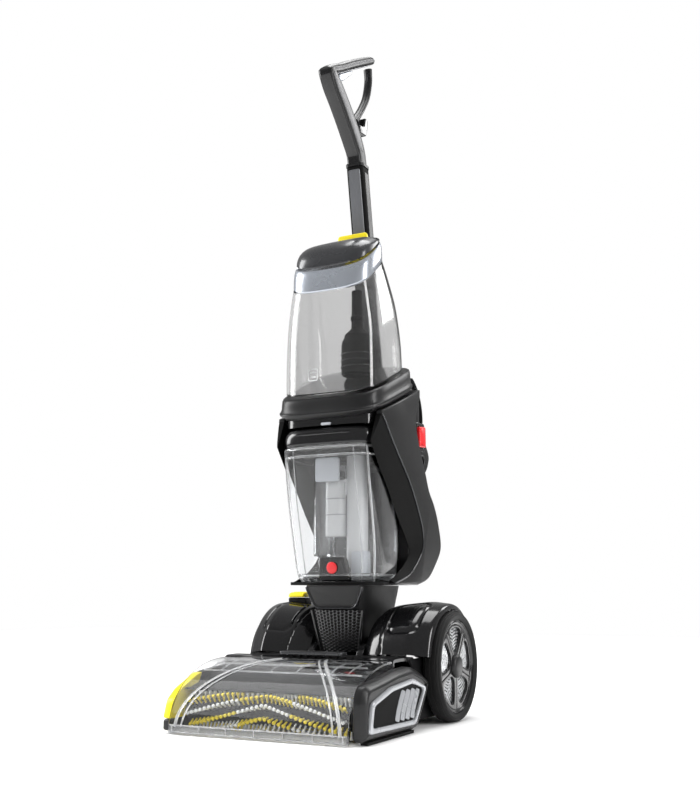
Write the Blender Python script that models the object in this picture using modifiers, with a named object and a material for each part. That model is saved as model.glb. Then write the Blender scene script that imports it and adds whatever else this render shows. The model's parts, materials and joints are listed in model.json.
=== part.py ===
# Upright carpet cleaner: a wheeled foot with two brush rolls under a clear nozzle window, and an
# upright body that reclines on the foot and carries a dirty water tank, a clean water tank, a post
# and a loop handle. X runs to the machine's right as seen from its front, +Y to its back, +Z up.
# The origin is on the floor under the middle of the whole machine. All sizes are in metres.
import math

import bmesh
import bpy
from mathutils import Matrix, Vector

GAP = 0.0003            # between pieces that touch
RUNNING_GAP = 0.0012    # between a moving piece and its neighbours

# Overall sizes
FOOT_FRONT = -0.205
WHEEL_SPAN = 0.318
HANDLE_TOP = 1.103

# Wheels
WHEEL_RADIUS = 0.079
WHEEL_WIDTH = 0.028
TYRE_DEPTH = 0.013
RIM_RADIUS = WHEEL_RADIUS - TYRE_DEPTH
AXLE_Y = 0.099
AXLE_RADIUS = 0.004

# Foot
PANEL_LEFT_X = -0.139
PANEL_RIGHT_X = 0.131
PANEL_LEFT_THICKNESS = 0.013
PANEL_RIGHT_THICKNESS = 0.018
FLOOR_CLEARANCE = 0.010
TRAY_THICKNESS = 0.012
HOOD_FRONT_Y = -0.0735
HOOD_REAR_Y = -0.012
HOOD_TOP_Z = 0.097
WINDOW_THICKNESS = 0.0025
SHELL = 0.004

# Brush rolls
ROLL_TIP_RADIUS = 0.026
ROLL_CORE_RADIUS = 0.015
ROLL_FRONT_Y = -0.164
ROLL_SPACING = 0.060
ROLL_AXIS_Z = 0.029
ROLL_END_GAP = 0.007

# Recline
RECLINE_Y = 0.099
RECLINE_Z = 0.105
RECLINE_PIN_RADIUS = 0.006
NECK_HALF_WIDTH = 0.043

# Upright body
TANK_SEAT_Z = 0.2012
SHELF_THICKNESS = 0.0045
SHELF_FRONT_Y = 0.010
TANK_HALF_WIDTH = 0.077
TANK_TOP_Z = 0.401
TANK_FRONT_Y = -0.036
TANK_REAR_Y = 0.098
TANK_WALL = 0.0025
CHANNEL_THICKNESS = 0.0095
CHANNEL_LIP = 0.0015
FRAME_THICKNESS = 0.0105
MOTOR_RADIUS = 0.044
MOTOR_Z = 0.268

# Collar and clean water tank
COLLAR_OVERHANG = 0.012
COLLAR_HALF_WIDTH = TANK_HALF_WIDTH + COLLAR_OVERHANG
COLLAR_FRONT_Y = -0.040
COLLAR_REAR_Y = 0.130
COLLAR_BOTTOM_Z = 0.440
COLLAR_BOTTOM_SLOPE = 0.40
COLLAR_TOP_Z = 0.473
COLLAR_TOP_SLOPE = 0.45
CLEAN_INSET = 0.007
CLEAN_HALF_WIDTH = COLLAR_HALF_WIDTH - CLEAN_INSET
CLEAN_TOP_HALF_WIDTH = 0.067
CLEAN_WALL = 0.003
BAND_FRONT_Y = -0.033
BAND_REAR_Y = 0.060
BAND_FRONT_Z = 0.637
BAND_SLOPE = 0.80
BAND_HEIGHT = 0.036
CAP_HEIGHT = 0.030

# Post and handle
POST_HALF_WIDTH = 0.015
POST_DEPTH = 0.028
POST_FRONT_Y = 0.0885
POST_REFERENCE_Z = 0.760
POST_LEAN = 0.172
POST_BOTTOM_Z = 0.545
HANDLE_RISE = 0.223
POST_TOP_Z = HANDLE_TOP - HANDLE_RISE
ARM_FOOT = (0.06786, 0.880)     # y and z of the post top that the handle is drawn for
ARM_HALF_WIDTH = 0.013
GRIP_HALF_WIDTH = 0.012
GRIP_THICKNESS = 0.017
STRUT_RADIUS = 0.0055

PART_NAME = "carpet_cleaner"

for item in list(bpy.data.objects):
    bpy.data.objects.remove(item, do_unlink=True)

PARTS = bpy.data.collections.new(PART_NAME)
CUTTERS = bpy.data.collections.new(PART_NAME + "_cutters")
bpy.context.scene.collection.children.link(PARTS)
bpy.context.scene.collection.children.link(CUTTERS)


# ---- materials ----

def material(name, colour, roughness, metallic=0.0, alpha=1.0):
    made = bpy.data.materials.new(name)
    made.use_nodes = True
    shader = made.node_tree.nodes["Principled BSDF"]
    shader.inputs["Base Color"].default_value = (*colour, 1.0)
    shader.inputs["Roughness"].default_value = roughness
    shader.inputs["Metallic"].default_value = metallic
    shader.inputs["Alpha"].default_value = alpha
    return made


SATIN_DARK = material("satin_dark_plastic", (0.045, 0.047, 0.052), 0.42)
GLOSS_BLACK = material("gloss_black_plastic", (0.008, 0.008, 0.010), 0.12)
MATTE_BLACK = material("matte_black_plastic", (0.014, 0.014, 0.015), 0.60)
GUNMETAL = material("gunmetal_paint", (0.10, 0.105, 0.115), 0.28, 0.6)
SILVER = material("silver_paint", (0.52, 0.56, 0.62), 0.30, 0.7)
STEEL = material("steel", (0.60, 0.60, 0.60), 0.30, 1.0)
YELLOW = material("yellow_plastic", (0.62, 0.78, 0.03), 0.35)
RED = material("red_plastic", (0.65, 0.02, 0.02), 0.35)
CLEAR = material("clear_plastic", (0.80, 0.84, 0.86), 0.08, 0.0, 0.30)
SMOKE = material("smoked_plastic", (0.22, 0.24, 0.26), 0.08, 0.0, 0.45)
RUBBER = material("rubber", (0.015, 0.015, 0.015), 0.80)
BRISTLE = material("bristle", (0.70, 0.72, 0.20), 0.75)
WHITE = material("white_plastic", (0.80, 0.80, 0.80), 0.40)
BELT = material("belt_rubber", (0.02, 0.02, 0.02), 0.70)


# ---- shapes ----

def place(name, mesh, skin, collection=PARTS):
    """Link a mesh as an object, smooth but for its sharp edges."""
    made = bpy.data.objects.new(name, mesh)
    collection.objects.link(made)
    if skin:
        mesh.materials.append(skin)
    mesh.shade_smooth()
    mesh.set_sharp_from_angle(angle=math.radians(32))
    return made


def from_bmesh(name, form, skin):
    bmesh.ops.recalc_face_normals(form, faces=form.faces)
    mesh = bpy.data.meshes.new(name)
    form.to_mesh(mesh)
    form.free()
    return place(name, mesh, skin)


def bevelled(piece, width, segments=2):
    bevel = piece.modifiers.new("edges", "BEVEL")
    bevel.width = width
    bevel.segments = segments
    bevel.limit_method = "ANGLE"
    bevel.angle_limit = math.radians(40)
    return piece


def box(name, skin, x, y, z, edge=0.0):
    """A box between two values along each axis, with its edges rounded by edge."""
    form = bmesh.new()
    bmesh.ops.create_cube(form, size=1.0)
    size = Vector((x[1] - x[0], y[1] - y[0], z[1] - z[0]))
    middle = Vector((x[0] + x[1], y[0] + y[1], z[0] + z[1])) / 2
    bmesh.ops.scale(form, vec=size, verts=form.verts)
    bmesh.ops.translate(form, vec=middle, verts=form.verts)
    piece = from_bmesh(name, form, skin)
    if edge:
        bevelled(piece, edge, 1)
    return piece


TURN = {
    "X": Matrix.Rotation(math.radians(90), 4, "Y"),
    "Y": Matrix.Rotation(math.radians(-90), 4, "X"),
    "Z": Matrix.Identity(4),
}


def rod(name, skin, axis, start, length, radius, segments=20, end_radius=None):
    """A cylinder or cone from start along +axis."""
    form = bmesh.new()
    tip = radius if end_radius is None else end_radius
    bmesh.ops.create_cone(form, cap_ends=True, segments=segments, radius1=radius, radius2=tip, depth=length)
    bmesh.ops.translate(form, vec=(0, 0, length / 2), verts=form.verts)
    bmesh.ops.transform(form, matrix=Matrix.Translation(start) @ TURN[axis], verts=form.verts)
    return from_bmesh(name, form, skin)


def slab(name, skin, outline, x, edge=0.0):
    """A flat outline of (y, z) points, filled, between two values of X."""
    curve = bpy.data.curves.new(name, "CURVE")
    curve.dimensions = "2D"
    curve.fill_mode = "BOTH"
    curve.extrude = (x[1] - x[0]) / 2
    spline = curve.splines.new("POLY")
    spline.points.add(len(outline) - 1)
    for point, (y, z) in zip(spline.points, outline):
        point.co = (y, z, 0.0, 1.0)
    spline.use_cyclic_u = True
    mesh = mesh_of_curve(name, curve)
    upright = Matrix(((0, 0, 1, (x[0] + x[1]) / 2), (1, 0, 0, 0), (0, 1, 0, 0), (0, 0, 0, 1)))
    mesh.transform(upright)
    piece = place(name, mesh, skin)
    if edge:
        bevelled(piece, edge, 1)
    return piece


def mesh_of_curve(name, curve):
    """Turn a curve into a closed mesh with welded caps, and remove the curve."""
    guide = bpy.data.objects.new(name + "_curve", curve)
    PARTS.objects.link(guide)
    bpy.context.view_layer.update()
    evaluated = guide.evaluated_get(bpy.context.evaluated_depsgraph_get())
    mesh = bpy.data.meshes.new_from_object(evaluated)
    form = bmesh.new()
    form.from_mesh(mesh)
    bmesh.ops.remove_doubles(form, verts=form.verts, dist=0.00001)
    bmesh.ops.recalc_face_normals(form, faces=form.faces)
    form.to_mesh(mesh)
    form.free()
    bpy.data.objects.remove(guide, do_unlink=True)
    return mesh


def tube(name, skin, path, radius):
    """A round bar along a path of points."""
    curve = bpy.data.curves.new(name, "CURVE")
    curve.dimensions = "3D"
    curve.bevel_depth = radius
    curve.bevel_resolution = 2
    curve.use_fill_caps = True
    spline = curve.splines.new("POLY")
    spline.points.add(len(path) - 1)
    for point, co in zip(spline.points, path):
        point.co = (*co, 1.0)
    return place(name, mesh_of_curve(name, curve), skin)


def turned(name, skin, profile, centre, steps=32):
    """A profile of (radius, x) points, given from +X to -X, turned about the X axis.

    A profile that ends on its first point is a ring with a bore.
    """
    form = bmesh.new()
    closed = profile[0] == profile[-1]
    outline = profile[:-1] if closed else profile
    corners = [form.verts.new((x, radius, 0.0)) for radius, x in outline]
    following = corners[1:] + corners[:1] if closed else corners[1:]
    for first, second in zip(corners, following):
        form.edges.new((first, second))
    mesh = bpy.data.meshes.new(name)
    form.to_mesh(mesh)
    form.free()
    piece = bpy.data.objects.new(name, mesh)
    PARTS.objects.link(piece)
    piece.location = centre
    mesh.materials.append(skin)
    screw = piece.modifiers.new("turn", "SCREW")
    screw.axis = "X"
    screw.steps = steps
    screw.render_steps = steps
    screw.use_merge_vertices = True
    screw.merge_threshold = 0.00005
    return piece


def loft(name, skin, rings):
    """A solid through rings of equal point counts, closed at both ends."""
    form = bmesh.new()
    rows = [[form.verts.new(point) for point in ring] for ring in rings]
    count = len(rows[0])
    for low, high in zip(rows, rows[1:]):
        for i in range(count):
            after = (i + 1) % count
            form.faces.new((low[i], low[after], high[after], high[i]))
    form.faces.new(rows[0])
    form.faces.new(rows[-1])
    return from_bmesh(name, form, skin)


def strip(name, skin, profile, x, thickness, columns=1):
    """A bent sheet: an open profile of (y, z) points drawn across X and thickened inwards."""
    form = bmesh.new()
    stations = [x[0] + (x[1] - x[0]) * i / columns for i in range(columns + 1)]
    rows = [[form.verts.new((station, y, z)) for y, z in profile] for station in stations]
    for left, right in zip(rows, rows[1:]):
        for i in range(len(profile) - 1):
            form.faces.new((left[i], right[i], right[i + 1], left[i + 1]))
    mesh = bpy.data.meshes.new(name)
    form.to_mesh(mesh)
    form.free()
    piece = place(name, mesh, skin)
    solid = piece.modifiers.new("thickness", "SOLIDIFY")
    solid.thickness = thickness
    solid.offset = -1
    solid.use_even_offset = True
    return piece


def rounded_ring(half_width, front_y, rear_y, height, power=4.5, count=28):
    """A rounded rectangle seen from above, whose height is a function of Y."""
    middle = (front_y + rear_y) / 2
    half_depth = (rear_y - front_y) / 2
    ring = []
    for i in range(count):
        angle = 2 * math.pi * (i + 0.5) / count
        across = math.copysign(abs(math.cos(angle)) ** (2 / power), math.cos(angle))
        along = math.copysign(abs(math.sin(angle)) ** (2 / power), math.sin(angle))
        y = middle + half_depth * along
        ring.append((half_width * across, y, height(y)))
    return ring


def level(z):
    return lambda y: z


def slope(z_front, y_front, rise):
    return lambda y: z_front + rise * (y - y_front)


def cut(target, cutter):
    """Cut a piece away with another, which becomes a hidden cutter."""
    trim = target.modifiers.new(cutter.name, "BOOLEAN")
    trim.operation = "DIFFERENCE"
    trim.solver = "EXACT"
    trim.object = cutter
    PARTS.objects.unlink(cutter)
    CUTTERS.objects.link(cutter)
    cutter.hide_render = True
    cutter.display_type = "WIRE"


def unite(target, other):
    """Join another shape to a piece by a union, and keep it as a hidden guide."""
    join = target.modifiers.new(other.name, "BOOLEAN")
    join.operation = "UNION"
    join.solver = "EXACT"
    join.object = other
    PARTS.objects.unlink(other)
    CUTTERS.objects.link(other)
    other.hide_render = True
    other.display_type = "WIRE"


def pivot(piece, point):
    """Move a piece's origin onto its joint's axis without moving its shape."""
    shift = Vector(point) - piece.location
    piece.data.transform(Matrix.Translation(-shift))
    piece.location = Vector(point)
    return piece


def on_side(side, near, far):
    """A range of X on one side of the machine, from a near and a far distance."""
    return (near, far) if side > 0 else (-far, -near)


SIDES = (("left", -1), ("right", 1))


# ---- wheels ----

def make_wheels():
    half_span = WHEEL_SPAN / 2
    for word, side in SIDES:
        middle = (side * (half_span - WHEEL_WIDTH / 2), AXLE_Y, WHEEL_RADIUS)
        half = WHEEL_WIDTH / 2
        edge = 0.004
        tyre = [
            (RIM_RADIUS + GAP, half - edge), (WHEEL_RADIUS - edge, half), (WHEEL_RADIUS, half - edge),
            (WHEEL_RADIUS, edge - half), (WHEEL_RADIUS - edge, -half), (RIM_RADIUS + GAP, edge - half),
            (RIM_RADIUS + GAP, half - edge),
        ]
        turned("tyre_" + word, RUBBER, tyre, middle, 40)
        bore = AXLE_RADIUS + GAP
        face = half - 0.005
        web = half - 0.016
        disc = [
            (bore, half), (0.014, half), (0.018, face), (0.022, web), (RIM_RADIUS - 0.010, web),
            (RIM_RADIUS - 0.006, face),
            (RIM_RADIUS, face), (RIM_RADIUS, -face), (RIM_RADIUS - 0.006, -face),
            (RIM_RADIUS - 0.010, -web), (0.022, -web),
            (0.018, -face), (0.014, -half), (bore, -half), (bore, half),
        ]
        turned("wheel_" + word, GLOSS_BLACK, disc, middle, 40)
    axle_half = half_span - WHEEL_WIDTH / 2
    rod("wheel_axle", STEEL, "X", (-axle_half, AXLE_Y, WHEEL_RADIUS), 2 * axle_half, AXLE_RADIUS, 16)


# ---- foot ----

NOSE = [                        # the nozzle's outer side line, from the lip up and back to the hood
    (FOOT_FRONT, 0.003), (FOOT_FRONT + 0.003, 0.026), (FOOT_FRONT + 0.012, 0.046),
    (FOOT_FRONT + 0.028, 0.063),
    (FOOT_FRONT + 0.052, 0.077), (FOOT_FRONT + 0.084, 0.087), (HOOD_FRONT_Y - RUNNING_GAP, 0.094),
]
SHOULDER_STRETCH = 0.17         # how far the shoulder reaches ahead of a true circle, as a share
SHOULDER_CLEARANCE = 0.003      # over the tyre
SHOULDER_FRONT_ANGLE = 169      # degrees about the axle, from the rear
SHOULDER_REAR_ANGLE = 15


def make_chassis():
    tray_z = (FLOOR_CLEARANCE, FLOOR_CLEARANCE + TRAY_THICKNESS)
    inner_left = PANEL_LEFT_X + GAP
    inner_right = PANEL_RIGHT_X - GAP
    tray = box("foot_chassis", MATTE_BLACK, (inner_left, inner_right), (HOOD_FRONT_Y, 0.014), tray_z, 0.002)
    wheel_bay = WHEEL_SPAN / 2 - WHEEL_WIDTH - 2 * RUNNING_GAP
    rear = box("tray_rear", MATTE_BLACK, (-wheel_bay, wheel_bay), (0.000, 0.160), tray_z)
    unite(tray, rear)
    sill = box("neck_sill", MATTE_BLACK, (-0.044, 0.044), (HOOD_REAR_Y + GAP + 0.001, 0.010),
        (tray_z[0] + 0.001, 0.088))
    unite(tray, sill)
    cheek_outline = [
        (0.060, tray_z[0] + 0.001), (0.140, tray_z[0] + 0.001), (0.118, RECLINE_Z),
        (RECLINE_Y, RECLINE_Z + 0.014),
        (0.080, RECLINE_Z),
    ]
    # the bay walls stop just under the shoulders' front edges
    front_edge = (WHEEL_RADIUS + SHOULDER_CLEARANCE) * math.sin(math.radians(SHOULDER_FRONT_ANGLE))
    wall_top = WHEEL_RADIUS + front_edge - 0.0008
    wall_y = (HOOD_REAR_Y + 0.0008, 0.158)
    for word, side in SIDES:
        wall_x = on_side(side, wheel_bay - 0.006, wheel_bay)
        wall = box("bay_wall_" + word, MATTE_BLACK, wall_x, wall_y, (tray_z[0] + 0.001, wall_top))
        unite(tray, wall)
        near = NECK_HALF_WIDTH + 0.006
        cheek = slab("cheek_" + word, MATTE_BLACK, cheek_outline, on_side(side, near, near + 0.008))
        unite(tray, cheek)
    for name, y, z, radius in (
        ("axle_hole", AXLE_Y, WHEEL_RADIUS, AXLE_RADIUS + GAP),
        ("pin_hole", RECLINE_Y, RECLINE_Z, RECLINE_PIN_RADIUS + GAP),
    ):
        cut(tray, rod(name, None, "X", (-wheel_bay - GAP, y, z), 2 * (wheel_bay + GAP), radius, 16))
    pin_half = NECK_HALF_WIDTH + 0.018
    rod("recline_pin", STEEL, "X", (-pin_half, RECLINE_Y, RECLINE_Z), 2 * pin_half, RECLINE_PIN_RADIUS, 16)


def make_hood():
    """The curved hood over the rear brush roll, from the window's top edge back to the shoulders."""
    inner = (PANEL_LEFT_X + GAP, PANEL_RIGHT_X - GAP)
    profile = [
        (HOOD_FRONT_Y, 0.078), (HOOD_FRONT_Y, HOOD_TOP_Z - 0.003), (HOOD_FRONT_Y + 0.012, HOOD_TOP_Z),
        (HOOD_REAR_Y - 0.020, HOOD_TOP_Z), (HOOD_REAR_Y, HOOD_TOP_Z - 0.012),
        (HOOD_REAR_Y, FLOOR_CLEARANCE + TRAY_THICKNESS + GAP),
    ]
    strip("brush_hood", SATIN_DARK, profile, inner, SHELL)


def shoulder_radius(x):
    """Top radius of the shoulder about the wheel axle at a distance x from the middle.
    Each station is (x, height over the wheel's radius)."""
    stations = ((0.0465, -0.0050), (0.055, 0.0040), (0.071, 0.0090), (0.093, 0.0115), (0.120, 0.0140),
                (0.143, 0.0115), (0.1565, 0.0095))
    for (x0, over0), (x1, over1) in zip(stations, stations[1:]):
        if x <= x1:
            return WHEEL_RADIUS + over0 + (over1 - over0) * max(x - x0, 0.0) / (x1 - x0)
    return WHEEL_RADIUS + stations[-1][1]


def make_shoulders():
    wheel_clear = WHEEL_RADIUS + SHOULDER_CLEARANCE
    outer_x = WHEEL_SPAN / 2 - 0.4 * WHEEL_WIDTH
    distances = [0.0465, 0.055, 0.071, 0.093, 0.112, 0.128, 0.140, outer_x]
    sweep = SHOULDER_FRONT_ANGLE - SHOULDER_REAR_ANGLE
    angles = [math.radians(SHOULDER_FRONT_ANGLE - sweep * i / 12) for i in range(13)]
    for word, side in SIDES:
        rings = []
        for x in distances:
            stretch = SHOULDER_STRETCH * min(max((outer_x - x) / 0.03, 0.0), 1.0)
            outer, inner = [], []
            for angle in angles:
                reach = shoulder_radius(x) * (1 + stretch * max(-math.cos(angle), 0.0) ** 1.5)
                inside = min(reach - SHELL, wheel_clear)
                outer.append((side * x, AXLE_Y + reach * math.cos(angle),
                    WHEEL_RADIUS + reach * math.sin(angle)))
                inner.append((side * x, AXLE_Y + inside * math.cos(angle),
                    WHEEL_RADIUS + inside * math.sin(angle)))
            rings.append(outer + inner[::-1])
        loft("shoulder_" + word, GLOSS_BLACK, rings)


def make_side_panels():
    right_x = (PANEL_RIGHT_X, PANEL_RIGHT_X + PANEL_RIGHT_THICKNESS)
    front = FOOT_FRONT + 0.011
    wheel_front = AXLE_Y - WHEEL_RADIUS - 0.006
    outline = [
        (front, 0.004), (-0.030, 0.004), (wheel_front - 0.014, 0.040), (wheel_front, 0.065),
        (-0.014, 0.078), (-0.047, 0.087), (-0.093, 0.084), (-0.139, 0.077), (front + 0.010, 0.071),
        (front, 0.056),
    ]
    slab("side_panel_right", SATIN_DARK, outline, right_x, 0.003)
    trim_x = (right_x[1] + GAP, right_x[1] + 0.003)
    trim = slab("side_trim_right", SILVER, [
        (front + 0.008, 0.014), (-0.045, 0.012), (wheel_front - 0.022, 0.058), (-0.052, 0.072),
        (-0.120, 0.066), (front + 0.016, 0.050),
    ], trim_x)
    window = slab("trim_window", None, [
        (front + 0.020, 0.021), (-0.052, 0.019), (wheel_front - 0.034, 0.055), (-0.056, 0.064),
        (-0.116, 0.058), (front + 0.026, 0.044),
    ], (trim_x[0] - 0.01, trim_x[1] + 0.01))
    cut(trim, window)

    left_x = (PANEL_LEFT_X - PANEL_LEFT_THICKNESS, PANEL_LEFT_X)
    front = FOOT_FRONT + 0.005
    seam = 0.019
    slab("side_panel_left", SATIN_DARK, [
        (front, 0.004), (-0.030, 0.004), (wheel_front - 0.014, 0.040), (wheel_front, 0.062),
        (-0.034, 0.086), (-0.126, 0.076), (front + 0.040, seam), (front, seam),
    ], left_x, 0.002)
    cap = slab("end_cap_left", YELLOW, [
        (front, seam + GAP), (front + 0.040 - GAP, seam + GAP), (-0.126 - 2 * GAP, 0.076),
        (-0.140, 0.073), (front + 0.024, 0.057), (front + 0.007, 0.043),
    ], left_x, 0.002)
    screw_y, screw_z = front + 0.030, 0.043
    screw_x = left_x[0] + 0.001
    recess = rod("screw_recess", None, "X", (screw_x - 0.01, screw_y, screw_z), 0.010 + 0.004,
        0.006 + GAP, 16)
    cut(cap, recess)
    rod("end_cap_screw", MATTE_BLACK, "X", (screw_x, screw_y, screw_z), 0.004 - GAP, 0.006, 16)
    for word, x in (("left", left_x), ("right", right_x)):
        box("edge_brush_" + word, RUBBER, (x[0] + 0.004, x[1] - 0.003), (-0.180, -0.040), (0.0, 0.004 - GAP))


def make_drive():
    """Brush motor, its pulley, the belt to the rear roll, and the spray pump, under the hood."""
    motor_y, motor_z = HOOD_REAR_Y - 0.033, 0.062
    belt_x = (PANEL_LEFT_X + 0.0045, PANEL_LEFT_X + 0.0095)
    rod("brush_motor", STEEL, "X", (belt_x[1] + 0.003, motor_y, motor_z), 0.060, 0.018, 20)
    pulley_radius = 0.008
    pulley = rod("motor_pulley", MATTE_BLACK, "X", (belt_x[0], motor_y, motor_z),
                 belt_x[1] - belt_x[0] + 0.002, pulley_radius, 20)
    pivot(pulley, (belt_x[0], motor_y, motor_z))
    rear_y = ROLL_FRONT_Y + ROLL_SPACING
    inner = [(motor_y, motor_z, pulley_radius + GAP), (rear_y, ROLL_AXIS_Z, 0.012 + GAP)]
    belt = slab("drive_belt", BELT, belt_loop(inner, 0.0022), belt_x)
    hole = slab("belt_hole", None, belt_loop(inner, 0.0), (belt_x[0] - 0.01, belt_x[1] + 0.01))
    cut(belt, hole)
    box("spray_pump", WHITE, (0.062, 0.118), (0.030, 0.070),
        (FLOOR_CLEARANCE + TRAY_THICKNESS + GAP, 0.066), 0.003)


def belt_loop(wheels, extra):
    """The outline of a belt round two wheels, each (y, z, radius), pushed out by extra."""
    (y0, z0, r0), (y1, z1, r1) = wheels
    heading = math.atan2(z1 - z0, y1 - y0)
    points = []
    for y, z, radius, start in ((y0, z0, r0, heading + math.pi / 2), (y1, z1, r1, heading - math.pi / 2)):
        for i in range(9):
            angle = start + math.pi * i / 8
            points.append((y + (radius + extra) * math.cos(angle), z + (radius + extra) * math.sin(angle)))
    return points


def make_rolls():
    left = PANEL_LEFT_X + ROLL_END_GAP + 0.005
    right = PANEL_RIGHT_X - ROLL_END_GAP
    middle = (left + right) / 2
    half = (right - left) / 2
    stub = 0.004
    for word, y in (("front", ROLL_FRONT_Y), ("rear", ROLL_FRONT_Y + ROLL_SPACING)):
        centre = (middle, y, ROLL_AXIS_Z)
        pulley = [(stub, -half - 0.002), (0.0115, -half - 0.002), (0.0115, -half - 0.0075),
            (stub, -half - 0.0075)]
        core = [(0.0, half + 0.006), (stub, half + 0.006), (stub, half), (ROLL_CORE_RADIUS, half),
                (ROLL_CORE_RADIUS, -half), (stub, -half)]
        if word == "rear":
            core += pulley
        core += [(stub, -half - 0.010), (0.0, -half - 0.010)]
        turned("roll_" + word, MATTE_BLACK, core, centre, 20)
        rings = []
        count, steps = 24, 8
        for inner in (False, True):
            stations = range(steps, -1, -1) if inner else range(steps + 1)
            for i in stations:
                x = middle - half + 0.001 + (2 * half - 0.002) * i / steps
                ring = []
                for k in range(count):
                    angle = 2 * math.pi * k / count + 2.2 * i / steps
                    wave = 0.5 + 0.5 * math.cos(4 * 2 * math.pi * k / count)
                    tip = ROLL_CORE_RADIUS + 0.0025 + (ROLL_TIP_RADIUS - ROLL_CORE_RADIUS - 0.0025) * wave
                    radius = ROLL_CORE_RADIUS + GAP if inner else tip
                    ring.append((x, y + radius * math.cos(angle), ROLL_AXIS_Z + radius * math.sin(angle)))
                rings.append(ring)
        bristles = sleeve("bristles_" + word, BRISTLE, rings)
        pivot(bristles, centre)


def sleeve(name, skin, rings):
    """A ring-shaped solid: the rings run out along the outside and back along the bore."""
    form = bmesh.new()
    rows = [[form.verts.new(point) for point in ring] for ring in rings]
    count = len(rows[0])
    for low, high in zip(rows, rows[1:] + rows[:1]):
        for i in range(count):
            after = (i + 1) % count
            form.faces.new((low[i], low[after], high[after], high[i]))
    return from_bmesh(name, form, skin)


def make_window():
    inner = (PANEL_LEFT_X + RUNNING_GAP, PANEL_RIGHT_X - RUNNING_GAP)
    strip("brush_window", CLEAR, NOSE, inner, WINDOW_THICKNESS, 4)
    latch_y = HOOD_FRONT_Y + 0.004
    latch_z = HOOD_TOP_Z + GAP + 0.0012
    box("window_latch", GUNMETAL, (-0.050, 0.050), (latch_y, latch_y + 0.022), (latch_z, latch_z + 0.006),
        0.002)
    base_z = 0.1735
    pedal = box("recline_pedal", YELLOW, (-0.124, -0.096), (0.080, 0.108),
        (base_z + 0.0046, base_z + 0.0126), 0.002)
    pivot(pedal, (-0.110, 0.108, base_z + 0.008))


# ---- upright body ----

def make_neck():
    pin_z = RECLINE_Z
    rings = [
        rounded_ring(0.031, 0.040, RECLINE_Y + 0.009, level(pin_z - 0.017), 6, 20),
        rounded_ring(0.032, 0.030, RECLINE_Y + 0.018, level(pin_z - 0.008), 6, 20),
        rounded_ring(0.034, 0.024, RECLINE_Y + 0.021, level(pin_z), 6, 20),
        rounded_ring(0.040, 0.016, 0.138, level(0.150), 6, 20),
        rounded_ring(0.045, 0.008, 0.146, level(0.180), 6, 20),
        rounded_ring(0.048, 0.005, 0.147, level(TANK_SEAT_Z - SHELF_THICKNESS - 2 * GAP), 6, 20),
    ]
    neck = loft("neck", SATIN_DARK, rings)
    pin_bore = rod("neck_pin_hole", None, "X", (-0.1, RECLINE_Y, RECLINE_Z), 0.2,
        RECLINE_PIN_RADIUS + GAP, 16)
    cut(neck, pin_bore)
    chin = [[(-0.032, 0.010), (0.032, 0.010), (0.030, 0.003), (-0.030, 0.003)],
            [(-0.047, 0.0045), (0.047, 0.0045), (0.044, -0.004), (-0.044, -0.004)]]
    heights = (0.1625, TANK_SEAT_Z - SHELF_THICKNESS - 2 * GAP)
    loft("chin_panel", GUNMETAL, [[(x, y, z) for x, y in ring] for ring, z in zip(chin, heights)])


def collar_bottom(y):
    return COLLAR_BOTTOM_Z + COLLAR_BOTTOM_SLOPE * (y - COLLAR_FRONT_Y)


CHANNEL_INNER = [(-0.033, 0.402), (-0.007, 0.370), (0.022, 0.340), (0.051, 0.306), (0.091, 0.262),
                 (0.098, 0.243), (0.069, 0.220), (0.029, 0.203)]
CHANNEL_OUTER = [(-0.014, 0.4440), (-0.001, 0.434), (0.021, 0.411), (0.051, 0.383), (0.087, 0.349),
    (0.112, 0.317),
                 (0.133, 0.281), (0.133, 0.253), (0.110, 0.229), (0.078, 0.211), (0.029, 0.1985)]
BODY_REAR = [(0.110, 0.1965), (0.150, 0.206), (0.179, 0.226), (0.205, 0.256), (0.196, 0.295), (0.180, 0.323),
             (0.160, 0.345), (0.146, 0.372), (0.120, 0.420), (0.110, 0.455), (0.127, 0.490)]


def along(points, share):
    """The point at a share of a line's corners, counted from its first to its last."""
    place = share * (len(points) - 1)
    step = min(int(place), len(points) - 2)
    (y0, z0), (y1, z1) = points[step], points[step + 1]
    return y0 + (y1 - y0) * (place - step), z0 + (z1 - z0) * (place - step)


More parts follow.
